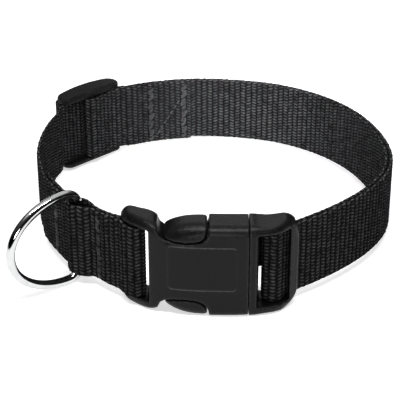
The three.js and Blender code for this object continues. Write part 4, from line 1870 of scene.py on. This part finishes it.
@dataclass
class DRing:
    """The D-ring: a welded steel wire with a straight bar and a round bow."""

    finish: ChromePlate = field(default_factory=ChromePlate)
    bar: tuple[float, float, float] = (-43.895 * MM, -44.625 * MM, 17.55 * MM)
    azimuth: float = math.radians(219.5)
    radius: float = 1.55 * MM
    half: float = 16.0 * MM
    corner: float = 5.2 * MM
    leg: float = 5.6 * MM
    reach: float = 27.2 * MM
    sides: int = 28
    bar_steps: int = 12
    corner_steps: int = 8
    leg_steps: int = 2
    bow_steps: int = 48

    def build(self) -> bpy.types.Object:
        """Makes the finished ring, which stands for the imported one.

        Returns:
            The ring.
        """
        away = Vector((math.cos(self.azimuth), math.sin(self.azimuth), 0.0))
        path = [Vector(self.bar) + away * u + Vector((0.0, 0.0, v)) for u, v in self._outline()]
        wire = tube(path, self.radius, self.sides, closed=True)
        obj = finished(wire, "d_ring_wire", self.finish.material())
        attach(obj, BODY_RING)
        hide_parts("d_ring")
        return obj

    def _outline(self) -> list[tuple[float, float]]:
        """Draws the wire's middle line, first its upper half.

        Returns:
            The points, each its distance from the bar and its height over the bar's middle.
        """
        upper = [(0.0, height) for height in evenly(0.0, self.half - self.corner, self.bar_steps)]
        for angle in evenly(0.0, math.pi / 2, self.corner_steps)[1:]:
            height = self.half - self.corner * (1 - math.sin(angle))
            upper.append((self.corner * (1 - math.cos(angle)), height))
        upper += [(out, self.half) for out in evenly(self.corner, self.leg, self.leg_steps)[1:]]
        bow = self.reach - self.leg
        for angle in evenly(math.pi / 2, 0.0, self.bow_steps)[1:-1]:
            upper.append((self.leg + bow * math.cos(angle), self.half * math.sin(angle)))
        lower = [(u, -v) for u, v in reversed(upper[1:])]
        return upper + [(self.reach, 0.0)] + lower


@dataclass(frozen=True)
class SoftLight:
    """A rectangular soft light, aimed at a place. Its power is in watts and its beam in degrees."""

    name: str
    place: tuple[float, float, float]
    aim: tuple[float, float, float]
    size: tuple[float, float]
    power: float
    beam: float = 180.0

    def build(self) -> None:
        """Hangs the light."""
        data = bpy.data.lights.new(self.name, "AREA")
        data.shape = "RECTANGLE"
        data.size, data.size_y = self.size
        data.energy = self.power
        data.spread = math.radians(self.beam)
        light = bpy.data.objects.new(self.name, data)
        light.location = self.place
        light.rotation_euler = (Vector(self.aim) - Vector(self.place)).to_track_quat("-Z", "Y").to_euler()
        bpy.context.scene.collection.objects.link(light)


@dataclass
class Studio:
    """The pale floor, the soft lights and the camera at the photograph's angle."""

    eye: tuple[float, float, float] = (-2.31 * MM, -428.94 * MM, 225.7 * MM)
    pitch: float = math.radians(27.1)
    lens: float = 115.0
    sensor: float = 36.0
    nearest: float = 0.01
    floor_size: float = 8.0
    lights: tuple[SoftLight, ...] = (
        SoftLight("overhead_softbox", (0.0, -0.16, 0.46), (0.0, -0.065, 0.025), (0.36, 0.024), 1.7),
        SoftLight("rear_softbox", (0.0, 1.07, 0.56), (0.0, -0.06, 0.03), (0.80, 0.34), 1.1),
        SoftLight("front_key", (-0.04, -0.95, 0.34), (0.0, 0.0, 0.015), (0.30, 0.20), 2.3),
        SoftLight("rear_beam", (0.03, -0.62, 0.40), (0.012, 0.07, 0.018), (0.06, 0.02), 0.044, beam=9.0),
    )
    sky_way: tuple[float, float, float] = (0.0, 0.25, 0.97)
    sky_tones: tuple[tuple[float, float], ...] = ((0.22, 0.0), (0.55, 0.05), (0.74, 0.12), (0.86, 0.9))
    sky_strength: float = 0.9

    def build(self) -> None:
        """Adds the floor, the lights, the sky and the camera."""
        bm = bmesh.new()
        bmesh.ops.create_grid(bm, x_segments=1, y_segments=1, size=self.floor_size / 2)
        finished(bm, "studio_floor", PaleFloor().material(), smooth=False)
        for light in self.lights:
            light.build()
        self._sky()
        self._camera()
        bpy.context.scene.view_settings.view_transform = "Standard"

    def _camera(self) -> None:
        """Places the camera, level from side to side, and makes it the scene's."""
        data = bpy.data.cameras.new("camera")
        data.sensor_width = self.sensor
        data.lens = self.lens
        data.clip_start = self.nearest
        camera = bpy.data.objects.new("camera", data)
        camera.location = self.eye
        camera.rotation_euler = (math.pi / 2 - self.pitch, 0.0, 0.0)
        bpy.context.scene.collection.objects.link(camera)
        bpy.context.scene.camera = camera

    def _sky(self) -> None:
        """Makes the sky a soft white sweep overhead and a little behind, dark down to the horizon."""
        world = bpy.data.worlds.new("studio_sky")
        bpy.context.scene.world = world
        world.use_nodes = True
        graph = NodeGraph(world.node_tree)
        way = graph.node("ShaderNodeTexCoord").outputs["Generated"]
        facing = graph.node("ShaderNodeVectorMath", {"operation": "DOT_PRODUCT"}, {0: way, 1: self.sky_way})
        stops = [(place, (tone, tone, tone, 1.0)) for place, tone in self.sky_tones]
        ramp = graph.node("ShaderNodeValToRGB", {"stops": stops}, {0: facing.outputs["Value"]})
        background = world.node_tree.nodes["Background"]
        graph.feed(background.inputs["Color"], ramp.outputs[0])
        graph.feed(background.inputs["Strength"], self.sky_strength)


def report(piece: bpy.types.Object) -> None:
    """Logs a piece's name and its number of faces."""
    log.info("%s: %d faces", piece.name, len(piece.data.polygons))


def main() -> None:
    """Builds the collar's pieces and the studio, and reports each."""
    logging.basicConfig(level=logging.INFO, format="%(name)s: %(message)s")
    Studio().build()
    band = Band()
    log.info("band %.0f mm long, %.2f mm thick", band.length / MM, band.thickness / MM)
    report(Webbing(band).build())
    report(Seams(band).build())
    shape = BuckleShape()
    panel = Panel()
    socket = BuckleSocket(shape, MouldedPlastic("socket_plastic", panel), panel=panel)
    report(socket.build())
    report(BuckleClip(shape, MouldedPlastic("clip_plastic")).build(socket.notch))
    report(Slider(MouldedPlastic("slider_plastic", roughness=0.50, gloss=0.09)).build())
    report(DRing().build())


if __name__ == "__main__":
    main()
